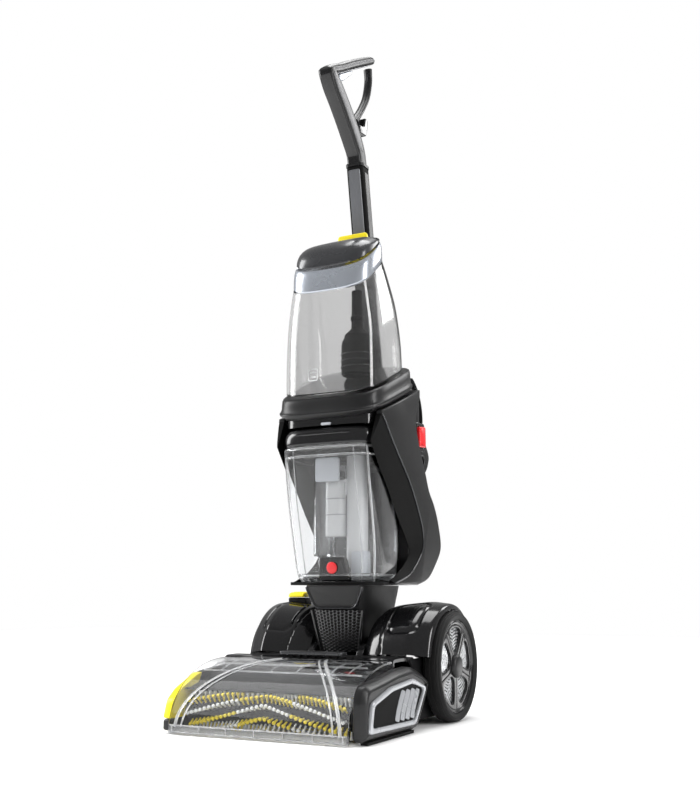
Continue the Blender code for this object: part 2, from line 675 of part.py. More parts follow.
def make_body():
    inside = TANK_HALF_WIDTH + RUNNING_GAP
    top = collar_bottom(0.127) - GAP - 0.001
    front_low = TANK_REAR_Y + 0.003
    front_high = front_low - 0.018
    shelf_top = TANK_SEAT_Z - GAP
    shelf_bottom = shelf_top - SHELF_THICKNESS
    profile = [(front_high, collar_bottom(front_high) - GAP - 0.001), (front_high, 0.430),
        (front_low, shelf_top),
               (SHELF_FRONT_Y, shelf_top), (SHELF_FRONT_Y, shelf_bottom)]
    profile += BODY_REAR + [(0.127, top)]
    spine = slab("spine", MATTE_BLACK, profile, (-inside, inside))
    pocket_y = 0.112
    cut(spine, rod("motor_pocket", None, "Y", (0.0, pocket_y, MOTOR_Z), 0.12, MOTOR_RADIUS + 0.003, 28))
    rod("suction_motor", STEEL, "Y", (0.0, pocket_y + 0.001, MOTOR_Z), 0.060, MOTOR_RADIUS, 28)
    rod("motor_cover", SATIN_DARK, "Y", (0.0, pocket_y + 0.063, MOTOR_Z), 0.022,
        MOTOR_RADIUS + 0.003 - GAP, 28, 0.036)
    for word, side in SIDES:
        frame_x = on_side(side, inside + GAP, inside + GAP + FRAME_THICKNESS)
        channel_x = on_side(side, inside + GAP, inside + GAP + CHANNEL_THICKNESS)
        outline = [(-0.0136, collar_bottom(-0.0136) - GAP - 0.001)]
        outline += [(y + 0.0004, z + 0.0004) for y, z in CHANNEL_OUTER[:8]]
        outline += [(y + 0.0004, z - 0.0004) for y, z in CHANNEL_OUTER[8:]]
        outline += BODY_REAR + [(0.127, top)]
        slab("side_frame_" + word, SATIN_DARK, outline, frame_x)
        # the channel's face slopes out from the tank's side to the frame's rim
        near, far = channel_x if side > 0 else channel_x[::-1]
        rings = []
        for step, (y, z) in enumerate(CHANNEL_OUTER):
            inner_y, inner_z = along(CHANNEL_INNER, step / (len(CHANNEL_OUTER) - 1))
            rings.append([(near, y, z), (far, y, z), (near + side * CHANNEL_LIP, inner_y, inner_z),
                (near, inner_y, inner_z)])
        loft("side_channel_" + word, GLOSS_BLACK, rings)


def make_dirty_tank():
    top = TANK_TOP_Z
    rear = TANK_REAR_Y
    levels = (
        (TANK_SEAT_Z, 0.064, 0.010, rear - 0.006),
        (TANK_SEAT_Z + 0.012, 0.071, 0.001, rear - 0.001),
        (0.262, 0.0755, -0.007, rear - 0.004),
        (0.330, TANK_HALF_WIDTH, -0.024, rear - 0.010),
        (top, TANK_HALF_WIDTH, TANK_FRONT_Y, rear - 0.016),
    )
    outer = [rounded_ring(half, front, back, level(z)) for z, half, front, back in levels]
    wall = TANK_WALL
    inner = [
        rounded_ring(half - wall, front + wall, back - wall, level(z + (wall if z == TANK_SEAT_Z else 0)))
        for z, half, front, back in reversed(levels)
    ]
    tank = loft("dirty_tank", CLEAR, outer + inner)
    hinge = (0.0, 0.003, 0.198)
    lid = loft("dirty_lid", MATTE_BLACK, [
        rounded_ring(TANK_HALF_WIDTH, TANK_FRONT_Y - 0.001, rear - 0.016, level(top + GAP)),
        rounded_ring(TANK_HALF_WIDTH, TANK_FRONT_Y - 0.002, rear - 0.017, level(top + 0.016)),
        rounded_ring(TANK_HALF_WIDTH - 0.006, TANK_FRONT_Y + 0.004, rear - 0.026, level(top + 0.026)),
    ])
    separator = box("separator", WHITE, (-0.034, 0.034), (0.030, 0.070), (0.330, top - GAP), 0.004)
    hanging = box("float_slot", None, (-0.013, 0.013), (0.020, 0.046), (0.300, 0.386))
    cut(separator, hanging)
    float_body = box("tank_float", RED, (-0.011, 0.011), (0.022, 0.044), (0.330, 0.356), 0.002)
    for piece in (tank, lid, separator):
        pivot(piece, hinge)
    pivot(float_body, (0.0, 0.033, 0.343))


# ---- collar and clean water tank ----

def make_collar():
    bottom = slope(COLLAR_BOTTOM_Z, COLLAR_FRONT_Y, COLLAR_BOTTOM_SLOPE)
    top = slope(COLLAR_TOP_Z, COLLAR_FRONT_Y, COLLAR_TOP_SLOPE)
    half, front, back = COLLAR_HALF_WIDTH, COLLAR_FRONT_Y, COLLAR_REAR_Y
    loft("collar", SATIN_DARK, [
        rounded_ring(half, front, back, bottom),
        rounded_ring(half + 0.001, front - 0.001, back, slope(COLLAR_BOTTOM_Z + 0.020, front, 0.42)),
        rounded_ring(half - 0.001, front + 0.001, back - 0.001, slope(COLLAR_TOP_Z - 0.004, front, 0.44)),
        rounded_ring(half - 0.005, front + 0.004, back - 0.004, top),
    ])


def make_clean_tank():
    seat = slope(COLLAR_TOP_Z + GAP + 0.0005, COLLAR_FRONT_Y, COLLAR_TOP_SLOPE)
    band = slope(BAND_FRONT_Z, BAND_FRONT_Y, BAND_SLOPE)
    middle = slope(0.566, COLLAR_FRONT_Y, 0.55)
    levels = (
        (seat, CLEAN_HALF_WIDTH, COLLAR_FRONT_Y + 0.006, 0.110),
        (middle, CLEAN_HALF_WIDTH - 0.003, COLLAR_FRONT_Y + 0.004, 0.092),
        (band, CLEAN_TOP_HALF_WIDTH, BAND_FRONT_Y, BAND_REAR_Y),
    )
    wall = CLEAN_WALL
    outer = [rounded_ring(half, front, back, height, 3.4) for height, half, front, back in levels]
    inner = []
    for height, half, front, back in reversed(levels):
        raised = wall if height is seat else 0.0
        inner.append(rounded_ring(half - wall, front + wall, back - wall, lifted(height, raised), 3.4))
    loft("clean_tank", SMOKE, outer + inner)

    half, front, back = CLEAN_TOP_HALF_WIDTH, BAND_FRONT_Y, BAND_REAR_Y
    loft("tank_band", SILVER, [
        rounded_ring(half + 0.001, front - 0.001, back + 0.001, lifted(band, GAP + 0.0003), 3.0),
        rounded_ring(half + 0.001, front, back, lifted(band, BAND_HEIGHT / 2), 3.0),
        rounded_ring(half - 0.003, front + 0.003, back - 0.001, lifted(band, BAND_HEIGHT), 3.0),
    ])
    cap_base = lifted(band, BAND_HEIGHT + GAP + 0.0003)
    crown = slope(BAND_FRONT_Z + BAND_HEIGHT + CAP_HEIGHT + 0.010, BAND_FRONT_Y, 0.42)
    between = lambda share: lambda y: cap_base(y) + (crown(y) - cap_base(y)) * share
    loft("tank_cap", GUNMETAL, [
        rounded_ring(half - 0.004, front + 0.004, back - 0.002, cap_base, 3.0),
        rounded_ring(half - 0.006, front + 0.006, back - 0.003, between(0.55), 3.0),
        rounded_ring(half - 0.014, front + 0.012, back - 0.007, between(0.88), 3.0),
        rounded_ring(half - 0.028, front + 0.024, back - 0.016, crown, 3.0),
    ])
    latch_z = band(BAND_REAR_Y) + 0.006
    latch = box("tank_latch", YELLOW, (-0.030, 0.030), (BAND_REAR_Y + 0.0022, BAND_REAR_Y + 0.0082),
                (latch_z, latch_z + 0.042), 0.002)
    pivot(latch, (0.0, BAND_REAR_Y + 0.0052, latch_z))


def lifted(height, rise):
    """The same slanted height line, raised."""
    return lambda y: height(y) + rise


# ---- post, holder and handle ----

def post_front(z):
    return POST_FRONT_Y - POST_LEAN * (z - POST_REFERENCE_Z)


def make_post():
    low, high = POST_BOTTOM_Z, POST_TOP_Z
    x = (-POST_HALF_WIDTH, POST_HALF_WIDTH)
    slab("post", GUNMETAL, [
        (post_front(low), low), (post_front(low) + POST_DEPTH, low),
        (post_front(high) + POST_DEPTH, high), (post_front(high), high),
    ], x, 0.004)
    front = COLLAR_REAR_Y + 0.002
    box("post_socket", SATIN_DARK, (-0.026, 0.026), (front, front + 0.034), (0.403, low - GAP - 0.0003),
        0.004)
    port_y = front + 0.034 + GAP
    port_z = 0.430
    port = rod("hose_port", MATTE_BLACK, "Y", (0.0, port_y, port_z), 0.010, 0.022, 24)
    cut(port, rod("port_bore", None, "Y", (0.0, port_y - 0.01, port_z), 0.05, 0.016, 24))
    door_y = port_y + 0.0106
    door = box("port_door", SATIN_DARK, (-0.024, 0.024), (door_y, door_y + 0.004),
        (port_z - 0.024, port_z + 0.030), 0.001)
    pivot(door, (0.0, door_y + 0.002, port_z + 0.028))


def make_holder():
    """The tool and hose holder at the right rear corner, with its red release button."""
    near = 0.052
    far = TANK_HALF_WIDTH
    block = box("tool_holder", MATTE_BLACK, (near, far), (0.1335, 0.152), (0.404, 0.490), 0.003)
    button_x = far + 0.0038
    button = box("tool_release", RED, (button_x, button_x + 0.008), (0.1265, 0.1515), (0.412, 0.447), 0.002)
    pivot(button, (button_x + 0.004, 0.135, 0.433))
    arc = []
    for i in range(11):
        angle = math.radians(62 - 90 * i / 10)
        arc.append((0.068, 0.104 + 0.068 * math.cos(angle), 0.462 + 0.070 * math.sin(angle)))
    strap = tube("hose_strap", MATTE_BLACK, arc, 0.0028)
    hook = slab("hose_hook", MATTE_BLACK, [
        (0.1525, 0.428), (0.172, 0.432), (0.196, 0.404), (0.184, 0.380), (0.170, 0.372), (0.176, 0.398),
        (0.1525, 0.402),
    ], (0.062, 0.074), 0.001)
    unite(hook, strap)
    rod("cord_gland", RUBBER, "Y", (-0.050, 0.1525, 0.368), 0.012, 0.0065, 16)
    rocker = box("power_rocker", RED, (-0.040, -0.028), (0.1285, 0.1345), (0.452, 0.478), 0.001)
    pivot(rocker, (-0.034, 0.1315, 0.465))


def on_post(points):
    """Handle points, drawn for a post whose top front corner is at ARM_FOOT, moved onto this post."""
    shift_y = post_front(POST_TOP_Z) - ARM_FOOT[0]
    shift_z = POST_TOP_Z - ARM_FOOT[1]
    return [(y + shift_y, z + shift_z) for y, z in points]


def make_handle():
    x = (-ARM_HALF_WIDTH, ARM_HALF_WIDTH)
    front, base = ARM_FOOT[0], ARM_FOOT[1] + GAP
    rear = front + POST_DEPTH
    slab("handle_arm", GUNMETAL, on_post([
        (front, base), (rear, base), (rear - 0.006, 0.925), (0.066, 0.940), (0.062, 0.960),
        (0.009, 0.987), (-0.010, 1.002), (-0.038, 1.000), (-0.037, 0.990), (-0.028, 0.977), (0.046, 0.912),
    ]), x, 0.003)
    grip_top = ARM_FOOT[1] + HANDLE_RISE
    tip = Vector((-0.010, 1.012))
    rise = (Vector((0.124, grip_top - 0.016)) - tip)
    across = Vector((-rise.y, rise.x)).normalized() * GRIP_THICKNESS
    start = Vector((-0.0385, 1.0025))
    end = tip + rise
    slab("handle_grip", GLOSS_BLACK, on_post([
        (start.x, start.y), (-0.010, 1.0035), (tip.x, tip.y), (end.x, end.y),
        (end.x + across.x * 0.5 + 0.006, grip_top - 0.003), (end.x + across.x * 0.5, grip_top),
        (tip.x + across.x * 0.9, tip.y + across.y * 0.9), (start.x, 1.010),
    ]), (-GRIP_HALF_WIDTH, GRIP_HALF_WIDTH), 0.003)
    path = on_post([(0.122, grip_top - 0.0265), (0.124, 1.055), (0.115, 1.022), (0.097, 0.993),
        (0.074, 0.9655)])
    tube("handle_strut", GUNMETAL, [Vector((0, y, z)) for y, z in path], STRUT_RADIUS)
    trigger = slab("handle_trigger", SILVER, on_post([
        (0.003, 1.0115), (0.050, 1.041), (0.047, 1.032), (0.020, 1.010), (0.006, 1.0),
    ]), (-0.007, 0.007))
    trigger_y, trigger_z = on_post([(0.047, 1.036)])[0]
    pivot(trigger, (0.0, trigger_y, trigger_z))
    hook = slab("cord_hook", MATTE_BLACK, on_post([
        (0.0745, 0.940), (0.100, 0.943), (0.104, 0.972), (0.094, 0.974), (0.091, 0.956), (0.0745, 0.954),
    ]), (-0.009, 0.009), 0.001)
    hook_y, hook_z = on_post([(0.0745, 0.947)])[0]
    pivot(hook, (0.0, hook_y, hook_z))


def main():
    make_wheels()
    make_chassis()
    make_hood()
    make_shoulders()
    make_side_panels()
    make_drive()
    make_rolls()
    make_window()
    make_neck()
    make_body()
    make_dirty_tank()
    make_collar()
    make_clean_tank()
    make_post()
    make_holder()
    make_handle()


main()
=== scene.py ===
import json
import math

import bmesh
import bpy
import numpy as np
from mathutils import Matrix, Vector


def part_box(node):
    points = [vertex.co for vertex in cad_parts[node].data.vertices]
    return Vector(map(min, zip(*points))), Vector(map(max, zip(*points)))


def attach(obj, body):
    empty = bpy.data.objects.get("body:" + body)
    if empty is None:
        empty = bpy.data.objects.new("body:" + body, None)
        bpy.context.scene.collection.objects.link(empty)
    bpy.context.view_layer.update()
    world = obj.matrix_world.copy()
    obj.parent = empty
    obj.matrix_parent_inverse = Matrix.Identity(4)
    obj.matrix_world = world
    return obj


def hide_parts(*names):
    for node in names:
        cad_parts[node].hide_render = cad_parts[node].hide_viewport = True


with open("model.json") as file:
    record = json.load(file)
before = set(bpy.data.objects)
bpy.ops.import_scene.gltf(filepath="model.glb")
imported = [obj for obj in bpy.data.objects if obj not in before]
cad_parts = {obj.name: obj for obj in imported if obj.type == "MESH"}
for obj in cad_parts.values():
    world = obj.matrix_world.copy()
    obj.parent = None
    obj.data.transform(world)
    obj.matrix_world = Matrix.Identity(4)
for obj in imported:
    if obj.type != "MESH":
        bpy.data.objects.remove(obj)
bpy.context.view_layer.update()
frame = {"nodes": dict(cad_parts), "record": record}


# A mesh over rows of points: (i, j) joins (i, j+1), (i+1, j+1) and (i+1, j).
# wrap joins each row's ends, caps fills the first and last rows, ring joins the last row to the first.
def surface(name, grid, skin, wrap=True, caps=True, ring=False, crease=38):
    grid = np.asarray(grid, dtype=float)
    rows, columns = grid.shape[:2]
    index = np.arange(rows * columns).reshape(rows, columns)
    if ring:
        index = np.vstack([index, index[:1]])
    if wrap:
        index = np.hstack([index, index[:, :1]])
    quads = np.stack([index[:-1, :-1], index[:-1, 1:], index[1:, 1:], index[1:, :-1]], axis=-1).reshape(-1, 4)
    faces = quads.tolist()
    if caps and not ring:
        faces += [index[0, :columns][::-1].tolist(), index[-1, :columns].tolist()]
    return meshPiece(name, grid.reshape(-1, 3), faces, skin, crease)


# An object from points and faces, its doubles merged and its normals turned outwards.
def meshPiece(name, points, faces, skin, crease=38):
    mesh = bpy.data.meshes.new(name)
    mesh.from_pydata(np.asarray(points).tolist(), [], faces)
    form = bmesh.new()
    form.from_mesh(mesh)
    bmesh.ops.remove_doubles(form, verts=form.verts, dist=0.000002)
    bmesh.ops.recalc_face_normals(form, faces=form.faces)
    form.to_mesh(mesh)
    form.free()
    mesh.materials.append(skin)
    mesh.shade_smooth()
    mesh.set_sharp_from_angle(angle=math.radians(crease))
    piece = bpy.data.objects.new(name, mesh)
    bpy.context.scene.collection.objects.link(piece)
    return piece


# Catmull-Rom curve through points, at count even values of its parameter.
def smoothLine(points, count, closed=False):
    points = np.asarray(points, dtype=float)
    total = len(points) if closed else len(points) - 1
    t = np.linspace(0, total, count, endpoint=not closed)
    k = np.minimum(t.astype(int), total - 1)
    u = (t - k)[:, None]
    step = (lambda i: i % len(points)) if closed else (lambda i: np.clip(i, 0, len(points) - 1))
    a, b, c, d = points[step(k - 1)], points[step(k)], points[step(k + 1)], points[step(k + 2)]
    return 0.5 * (2 * b + (c - a) * u + (2 * a - 5 * b + 4 * c - d) * u ** 2 + (3 * b - a - 3 * c + d) * u ** 3)


# A closed outline whose corners are quadratic arcs that start radius before each corner.
def roundedOutline(points, radius, steps=7):
    points = np.asarray(points, dtype=float)
    toBefore, toAfter = np.roll(points, 1, axis=0) - points, np.roll(points, -1, axis=0) - points
    lengthBefore = np.linalg.norm(toBefore, axis=1, keepdims=True)
    lengthAfter = np.linalg.norm(toAfter, axis=1, keepdims=True)
    reach = np.minimum(radius, 0.47 * np.minimum(lengthBefore, lengthAfter))
    start, end = points + toBefore / lengthBefore * reach, points + toAfter / lengthAfter * reach
    t = np.linspace(0, 1, steps)[None, :, None]
    arcs = start[:, None] * (1 - t) ** 2 + 2 * points[:, None] * t * (1 - t) + end[:, None] * t ** 2
    return arcs.reshape(-1, points.shape[1])


# A rounded rectangle between two pairs of values.
def roundedBox(a, b, radius, steps=7):
    return roundedOutline([(a[0], b[0]), (a[1], b[0]), (a[1], b[1]), (a[0], b[1])], radius, steps)


# The outline moved inwards by distance along the mean of its two edge normals at each point.
def inset(outline, distance):
    ahead = np.roll(outline, -1, axis=0) - outline
    ahead = ahead / np.maximum(np.linalg.norm(ahead, axis=1, keepdims=True), 1e-9)
    normal = np.stack([-ahead[:, 1], ahead[:, 0]], axis=1)
    normal = normal + np.roll(normal, 1, axis=0)
    normal = normal / np.maximum(np.linalg.norm(normal, axis=1, keepdims=True), 1e-9)
    y, z = outline[:, 0], outline[:, 1]
    area = np.sum(y * np.roll(z, -1) - np.roll(y, -1) * z)
    return outline + normal * distance * np.sign(area)


# An outline carried along an axis, both rims rounded by a quarter circle of radius edge.
# crown pulls the outline in once more over the first and last face, as a soft dome.
def plate(name, outline, x, edge, skin, steps=4, axis="X", crown=0.0):
    turn = np.linspace(math.pi / 2, 0, steps)
    places = np.concatenate([x[0] + edge * (1 - np.sin(turn)), x[1] - edge * (1 - np.sin(turn[::-1]))])
    draws = np.concatenate([edge * (1 - np.cos(turn)), edge * (1 - np.cos(turn[::-1]))])
    rings = insetRings(outline, zip(places, draws))
    if crown:
        first = last = inset(outline, edge + 3 * crown)
        rings = [atX(first, x[0] - crown)] + rings
        rings.append(atX(last, x[1] + crown))
    grid = np.asarray(rings)
    if axis == "Z":
        grid = grid[:, :, [1, 2, 0]]
    if axis == "Y":
        grid = grid[:, :, [1, 0, 2]]
    return surface(name, grid, skin)


# A flat line stood across x, y or z at one value.
def atX(line, x):
    return np.column_stack([np.full(len(line), x), line])


def atY(line, y):
    return np.column_stack([line[:, 0], np.full(len(line), y), line[:, 1]])


def atZ(line, z):
    return np.column_stack([line, np.full(len(line), z)])


# Rings of one outline along x, each drawn in by its own distance.
def insetRings(outline, steps):
    return [atX(inset(outline, d), x) for x, d in steps]


# A flat ring between an outer and an inner outline of equal counts, its top rims rounded.
def frameLike(name, outer, inner, x, edge, skin):
    lift = edge * 0.7
    rings = [(x[0], outer), (x[1] - edge, outer), (x[1] - edge + lift, inset(outer, edge * 0.3)),
             (x[1], inset(outer, edge)), (x[1], inset(inner, -edge)),
             (x[1] - edge + lift, inset(inner, -edge * 0.3)), (x[1] - edge, inner), (x[0], inner)]
    grid = [atX(line, p) for p, line in rings]
    return surface(name, grid, skin, ring=True)


# Unit normals of a flat line: its tangents turned a quarter anticlockwise.
def normalsOf(line):
    tangent = np.gradient(line, axis=0)
    tangent /= np.linalg.norm(tangent, axis=1, keepdims=True)
    return np.column_stack([-tangent[:, 1], tangent[:, 0]])


# A section of two radii carried along a path: the ring at each point lies across its tangent.
# radius may be one number or one for each point; squeeze scales it along up and across it.
def tube(name, path, radius, skin, sides=14, squeeze=(1.0, 1.0), up=(1, 0, 0)):
    path = np.asarray(path, dtype=float)
    tangent = np.gradient(path, axis=0)
    tangent /= np.linalg.norm(tangent, axis=1, keepdims=True)
    if np.abs(tangent @ np.asarray(up, dtype=float)).max() > 0.999:
        up = min(np.eye(3).tolist(), key=lambda axis: np.abs(tangent @ np.asarray(axis)).max())
    side = np.broadcast_to(np.asarray(up, dtype=float), path.shape)
    side = side - tangent * np.sum(side * tangent, axis=1, keepdims=True)
    side = side / np.linalg.norm(side, axis=1, keepdims=True)
    other = np.cross(tangent, side)
    angle = np.linspace(0, 2 * math.pi, sides, endpoint=False)
    radius = np.broadcast_to(np.asarray(radius, dtype=float), (len(path),))[:, None, None]
    grid = path[:, None] + radius * (side[:, None] * (np.cos(angle) * squeeze[0])[None, :, None]
                                     + other[:, None] * (np.sin(angle) * squeeze[1])[None, :, None])
    return surface(name, grid, skin)


# A profile of (radius, along) points turned about an axis through centre.
def turned(name, profile, centre, skin, sides=64, axis="X", closed=False):
    profile = np.asarray(profile, dtype=float)
    angle = np.linspace(0, 2 * math.pi, sides, endpoint=False)
    radius, along = profile[:, 0][:, None], profile[:, 1][:, None]
    flat = {"X": (along + 0 * angle, radius * np.cos(angle), radius * np.sin(angle)),
            "Y": (radius * np.cos(angle), along + 0 * angle, radius * np.sin(angle)),
            "Z": (radius * np.cos(angle), radius * np.sin(angle), along + 0 * angle)}[axis]
    return surface(name, np.stack(flat, axis=-1) + np.asarray(centre), skin, ring=closed)


# Superellipse |x/a|^p + |y/b|^p = 1 seen from above, with height z + slope * (y - front).
# bulge pushes the middle of the front face forwards as a parabola across the width.
def bentRing(halfWidth, front, back, z, slope=0.0, power=4.5, count=96, bulge=0.0):
    angle = np.linspace(0, 2 * math.pi, count, endpoint=False) + math.pi / count
    cosine, sine = np.cos(angle), np.sin(angle)
    x = halfWidth * np.sign(cosine) * np.abs(cosine) ** (2 / power)
    y = (front + back) / 2 + (back - front) / 2 * np.sign(sine) * np.abs(sine) ** (2 / power)
    y = y - bulge * (1 - (x / halfWidth) ** 2) * (sine < 0) * np.abs(sine)
    return np.column_stack([x, y, z + slope * (y - front)])


# Rings between levels of (halfWidth, front, back, z, slope), smoothed from one to the next.
def stacked(levels, rows, **shape):
    line = smoothLine(levels, rows)
    return [bentRing(*level, **shape) for level in line]


# Ride on a body and stand for CAD nodes where it replaces them; slot is not used.
def settle(piece, body, slot, *nodes):
    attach(piece, body)
    if nodes:
        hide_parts(*nodes)
    return piece


# Object-space noise mixes two tones, spreads the roughness and bumps the surface with a fine grain.
def finish(name, tone, second=None, rough=0.4, spread=0.08, metal=0.0, grain=900.0, bump=0.06, coat=0.0,
           broad=14.0, clear=0.0, bend=1.46, streak=None, specular=0.5):
    made = bpy.data.materials.new(name)
    made.use_nodes = True
    tree = made.node_tree
    shader = tree.nodes["Principled BSDF"]
    link = tree.links.new
    place = tree.nodes.new("ShaderNodeTexCoord")
    broadNoise = tree.nodes.new("ShaderNodeTexNoise")
    broadNoise.inputs["Scale"].default_value = broad
    broadNoise.inputs["Detail"].default_value = 3.0
    link(place.outputs["Object"], broadNoise.inputs["Vector"])
    mix = tree.nodes.new("ShaderNodeMix")
    mix.data_type = "RGBA"
    mix.inputs["A"].default_value = (*tone, 1)
    mix.inputs["B"].default_value = (*(second or [min(1.0, c * 1.25 + 0.002) for c in tone]), 1)
    link(broadNoise.outputs["Fac"], mix.inputs["Factor"])
    link(mix.outputs["Result"], shader.inputs["Base Color"])
    level = tree.nodes.new("ShaderNodeMapRange")
    level.inputs["From Min"].default_value = 0.3
    level.inputs["From Max"].default_value = 0.7
    level.inputs["To Min"].default_value = max(rough - spread, 0.0)
    level.inputs["To Max"].default_value = rough + spread
    link(broadNoise.outputs["Fac"], level.inputs["Value"])
    link(level.outputs["Result"], shader.inputs["Roughness"])
    fine = tree.nodes.new("ShaderNodeTexNoise")
    fine.inputs["Scale"].default_value = grain
    fine.inputs["Detail"].default_value = 2.0
    if streak:
        turn = tree.nodes.new("ShaderNodeMapping")
        turn.inputs["Scale"].default_value = streak
        link(place.outputs["Object"], turn.inputs["Vector"])
        link(turn.outputs["Vector"], fine.inputs["Vector"])
    else:
        link(place.outputs["Object"], fine.inputs["Vector"])
    relief = tree.nodes.new("ShaderNodeBump")
    relief.inputs["Strength"].default_value = bump
    relief.inputs["Distance"].default_value = 0.0004
    link(fine.outputs["Fac"], relief.inputs["Height"])
    link(relief.outputs["Normal"], shader.inputs["Normal"])
    shader.inputs["Metallic"].default_value = metal
    shader.inputs["Coat Weight"].default_value = coat
    shader.inputs["Coat Roughness"].default_value = 0.06
    shader.inputs["Transmission Weight"].default_value = clear
    shader.inputs["IOR"].default_value = bend
    shader.inputs["Specular IOR Level"].default_value = specular
    return made


skins = {"satin_dark": finish("satinDark", (0.007, 0.007, 0.0073), (0.011, 0.011, 0.0115), 0.34, 0.05,
                              bump=0.08, specular=0.42), "gloss_black": finish("glossBlack", (0.004, 0.004,
        0.0045), (0.007, 0.007, 0.0075), 0.16, 0.03, bump=0.010, coat=0.4, specular=0.4),
        "matte_black": finish("matteBlack", (0.005, 0.005, 0.0053), (0.008, 0.008, 0.0084), 0.5, 0.08,
                              bump=0.14, specular=0.22), "gunmetal": finish("gunmetal", (0.040, 0.041, 0.044),
        (0.055, 0.056, 0.060), 0.28, 0.04, 0.5, bump=0.04, coat=0.4),
        "silver_paint": finish("silverPaint", (0.40, 0.43, 0.48), (0.46, 0.49, 0.54), 0.28, 0.04, 0.75,
                               bump=0.03, coat=0.4), "steel": finish("steel", (0.50, 0.50, 0.50), (0.62, 0.62,
        0.62), 0.32, 0.08, 1.0, 400.0, 0.08, streak=(0.05, 1, 1)),
        "yellow": finish("yellowPlastic", (0.90, 0.72, 0.01), (0.95, 0.80, 0.02), 0.34, 0.05, bump=0.08),
        "red": finish("redPlastic", (0.62, 0.008, 0.012), (0.75, 0.015, 0.02), 0.34, 0.05, bump=0.05,
                      coat=0.3), "clear": finish("clearPlastic", (0.96, 0.97, 0.98), (0.98, 0.985, 0.99), 0.03,
                                                 0.015, bump=0.0, broad=8, clear=1.0, specular=0.22),
        "smoke": finish("smokedPlastic", (0.72, 0.72, 0.72), (0.76, 0.76, 0.76), 0.05, 0.02, bump=0.0, broad=6,
                        clear=1.0, specular=0.35), "rubber": finish("rubber", (0.009, 0.009, 0.009),
                                                                    (0.014, 0.014, 0.014), 0.74, 0.08,
                                                                    grain=700.0, bump=0.25, specular=0.25),
        "tyre": finish("tyreRubber", (0.006, 0.006, 0.006), (0.010, 0.010, 0.010), 0.60, 0.08, grain=500.0,
                       bump=0.30, specular=0.25), "bristle": finish("whiteBristle", (0.78, 0.78, 0.76),
                                                                    (0.88, 0.88, 0.86), 0.55, 0.08,
                                                                    grain=1500.0, bump=0.5),
        "white": finish("whitePlastic", (0.72, 0.73, 0.74), (0.80, 0.81, 0.82), 0.38, 0.05, bump=0.06), }
yellowBristle = finish("yellowBristle", (0.80, 0.62, 0.02), (0.92, 0.74, 0.04), 0.55, 0.08, grain=1500.0,
                       bump=0.5)
deepBlack = finish("deepBlack", (0.003, 0.003, 0.003), (0.005, 0.005, 0.005), 0.6, 0.05, bump=0.06,
                   specular=0.10)
chevronSilver = finish("chevronSilver", (0.55, 0.56, 0.57), (0.66, 0.67, 0.68), 0.34, 0.05, 0.6, bump=0.05)
paleGrey = finish("paleGreyPlastic", (0.40, 0.42, 0.45), (0.46, 0.48, 0.51), 0.36, 0.05, bump=0.06)

slotOf = {entry["node"]: entry["material_slot"] for entry in frame["record"]["subparts"]}
for node, thing in frame["nodes"].items():
    thing.data.materials.clear()
    thing.data.materials.append(skins[slotOf[node]])
print("materials are on the frame's nodes")


view = {"eye": (0.7287, -1.3607, 0.1836), "target": (0.0, 0.055, 0.4832), "lens": 46.34}


# A camera at the eye, turned so its axis meets the target.
def makeCamera():
    lens = bpy.data.cameras.new("camera")
    lens.lens = view["lens"]
    lens.sensor_width = 36.0
    lens.clip_start = 0.02
    lens.clip_end = 60.0
    camera = bpy.data.objects.new("camera", lens)
    bpy.context.scene.collection.objects.link(camera)
    camera.location = view["eye"]
    heading = Vector(view["target"]) - Vector(view["eye"])
    camera.rotation_euler = heading.to_track_quat("-Z", "Y").to_euler()
    bpy.context.scene.camera = camera
    bpy.context.scene.view_settings.view_transform = "Standard"


room = {"reach": 3.2, "tone": (0.97, 0.97, 0.97), "sky": 0.34}


# A flat pale floor under a white sky; the sky lights less strongly than it is seen.
def makeRoom():
    tone = finish("paleFloor", room["tone"], tuple(c * 1.01 for c in room["tone"]), 0.85, 0.05, bump=0.02,
                  broad=2)
    line = np.linspace(-room["reach"], room["reach"], 3)
    grid = np.stack([np.column_stack([np.full(3, x), line, np.zeros(3)]) for x in line])
    floor = surface("floor", grid, tone, wrap=False, caps=False)
    world = bpy.data.worlds.new("paleRoom")
    world.use_nodes = True
    nodes, links = world.node_tree.nodes, world.node_tree.links
    path = nodes.new("ShaderNodeLightPath")
    either = nodes.new("ShaderNodeMath")
    either.operation = "MAXIMUM"
    links.new(path.outputs["Is Camera Ray"], either.inputs[0])
    links.new(path.outputs["Is Transmission Ray"], either.inputs[1])
    seen = nodes.new("ShaderNodeMix")
    seen.inputs[2].default_value = room["sky"]
    seen.inputs[3].default_value = 1.0
    links.new(either.outputs[0], seen.inputs[0])
    nodes["Background"].inputs["Color"].default_value = (1.0, 1.0, 1.0, 1.0)
    links.new(seen.outputs[0], nodes["Background"].inputs["Strength"])
    bpy.context.scene.world = world


lamps = (
    # name, place, aim, size, power
    ("keyLamp", (-2.9, -0.9, 1.7), (0, 0, 0.5), (1.2, 2.2), 75.0),
    ("rimLamp", (1.5, 2.9, 2.5), (0, 0.05, 0.4), (0.9, 1.6), 34.0),
    ("sideLamp", (2.8, -0.2, 1.5), (0, 0.05, 0.5), (0.7, 2.2), 50.0),
    ("topLamp", (0.0, 0.6, 3.0), (0, 0, 0.4), (1.6, 1.6), 45.0),
)


# Rectangular lamps, each turned so its axis meets its aim.
def makeLamps():
    for name, place, aim, size, power in lamps:
        lamp = bpy.data.lights.new(name, "AREA")
        lamp.shape = "RECTANGLE"
        lamp.size, lamp.size_y = size
        lamp.energy = power
        thing = bpy.data.objects.new(name, lamp)
        bpy.context.scene.collection.objects.link(thing)
        thing.location = place
        thing.rotation_euler = (Vector(aim) - Vector(place)).to_track_quat("-Z", "Y").to_euler()


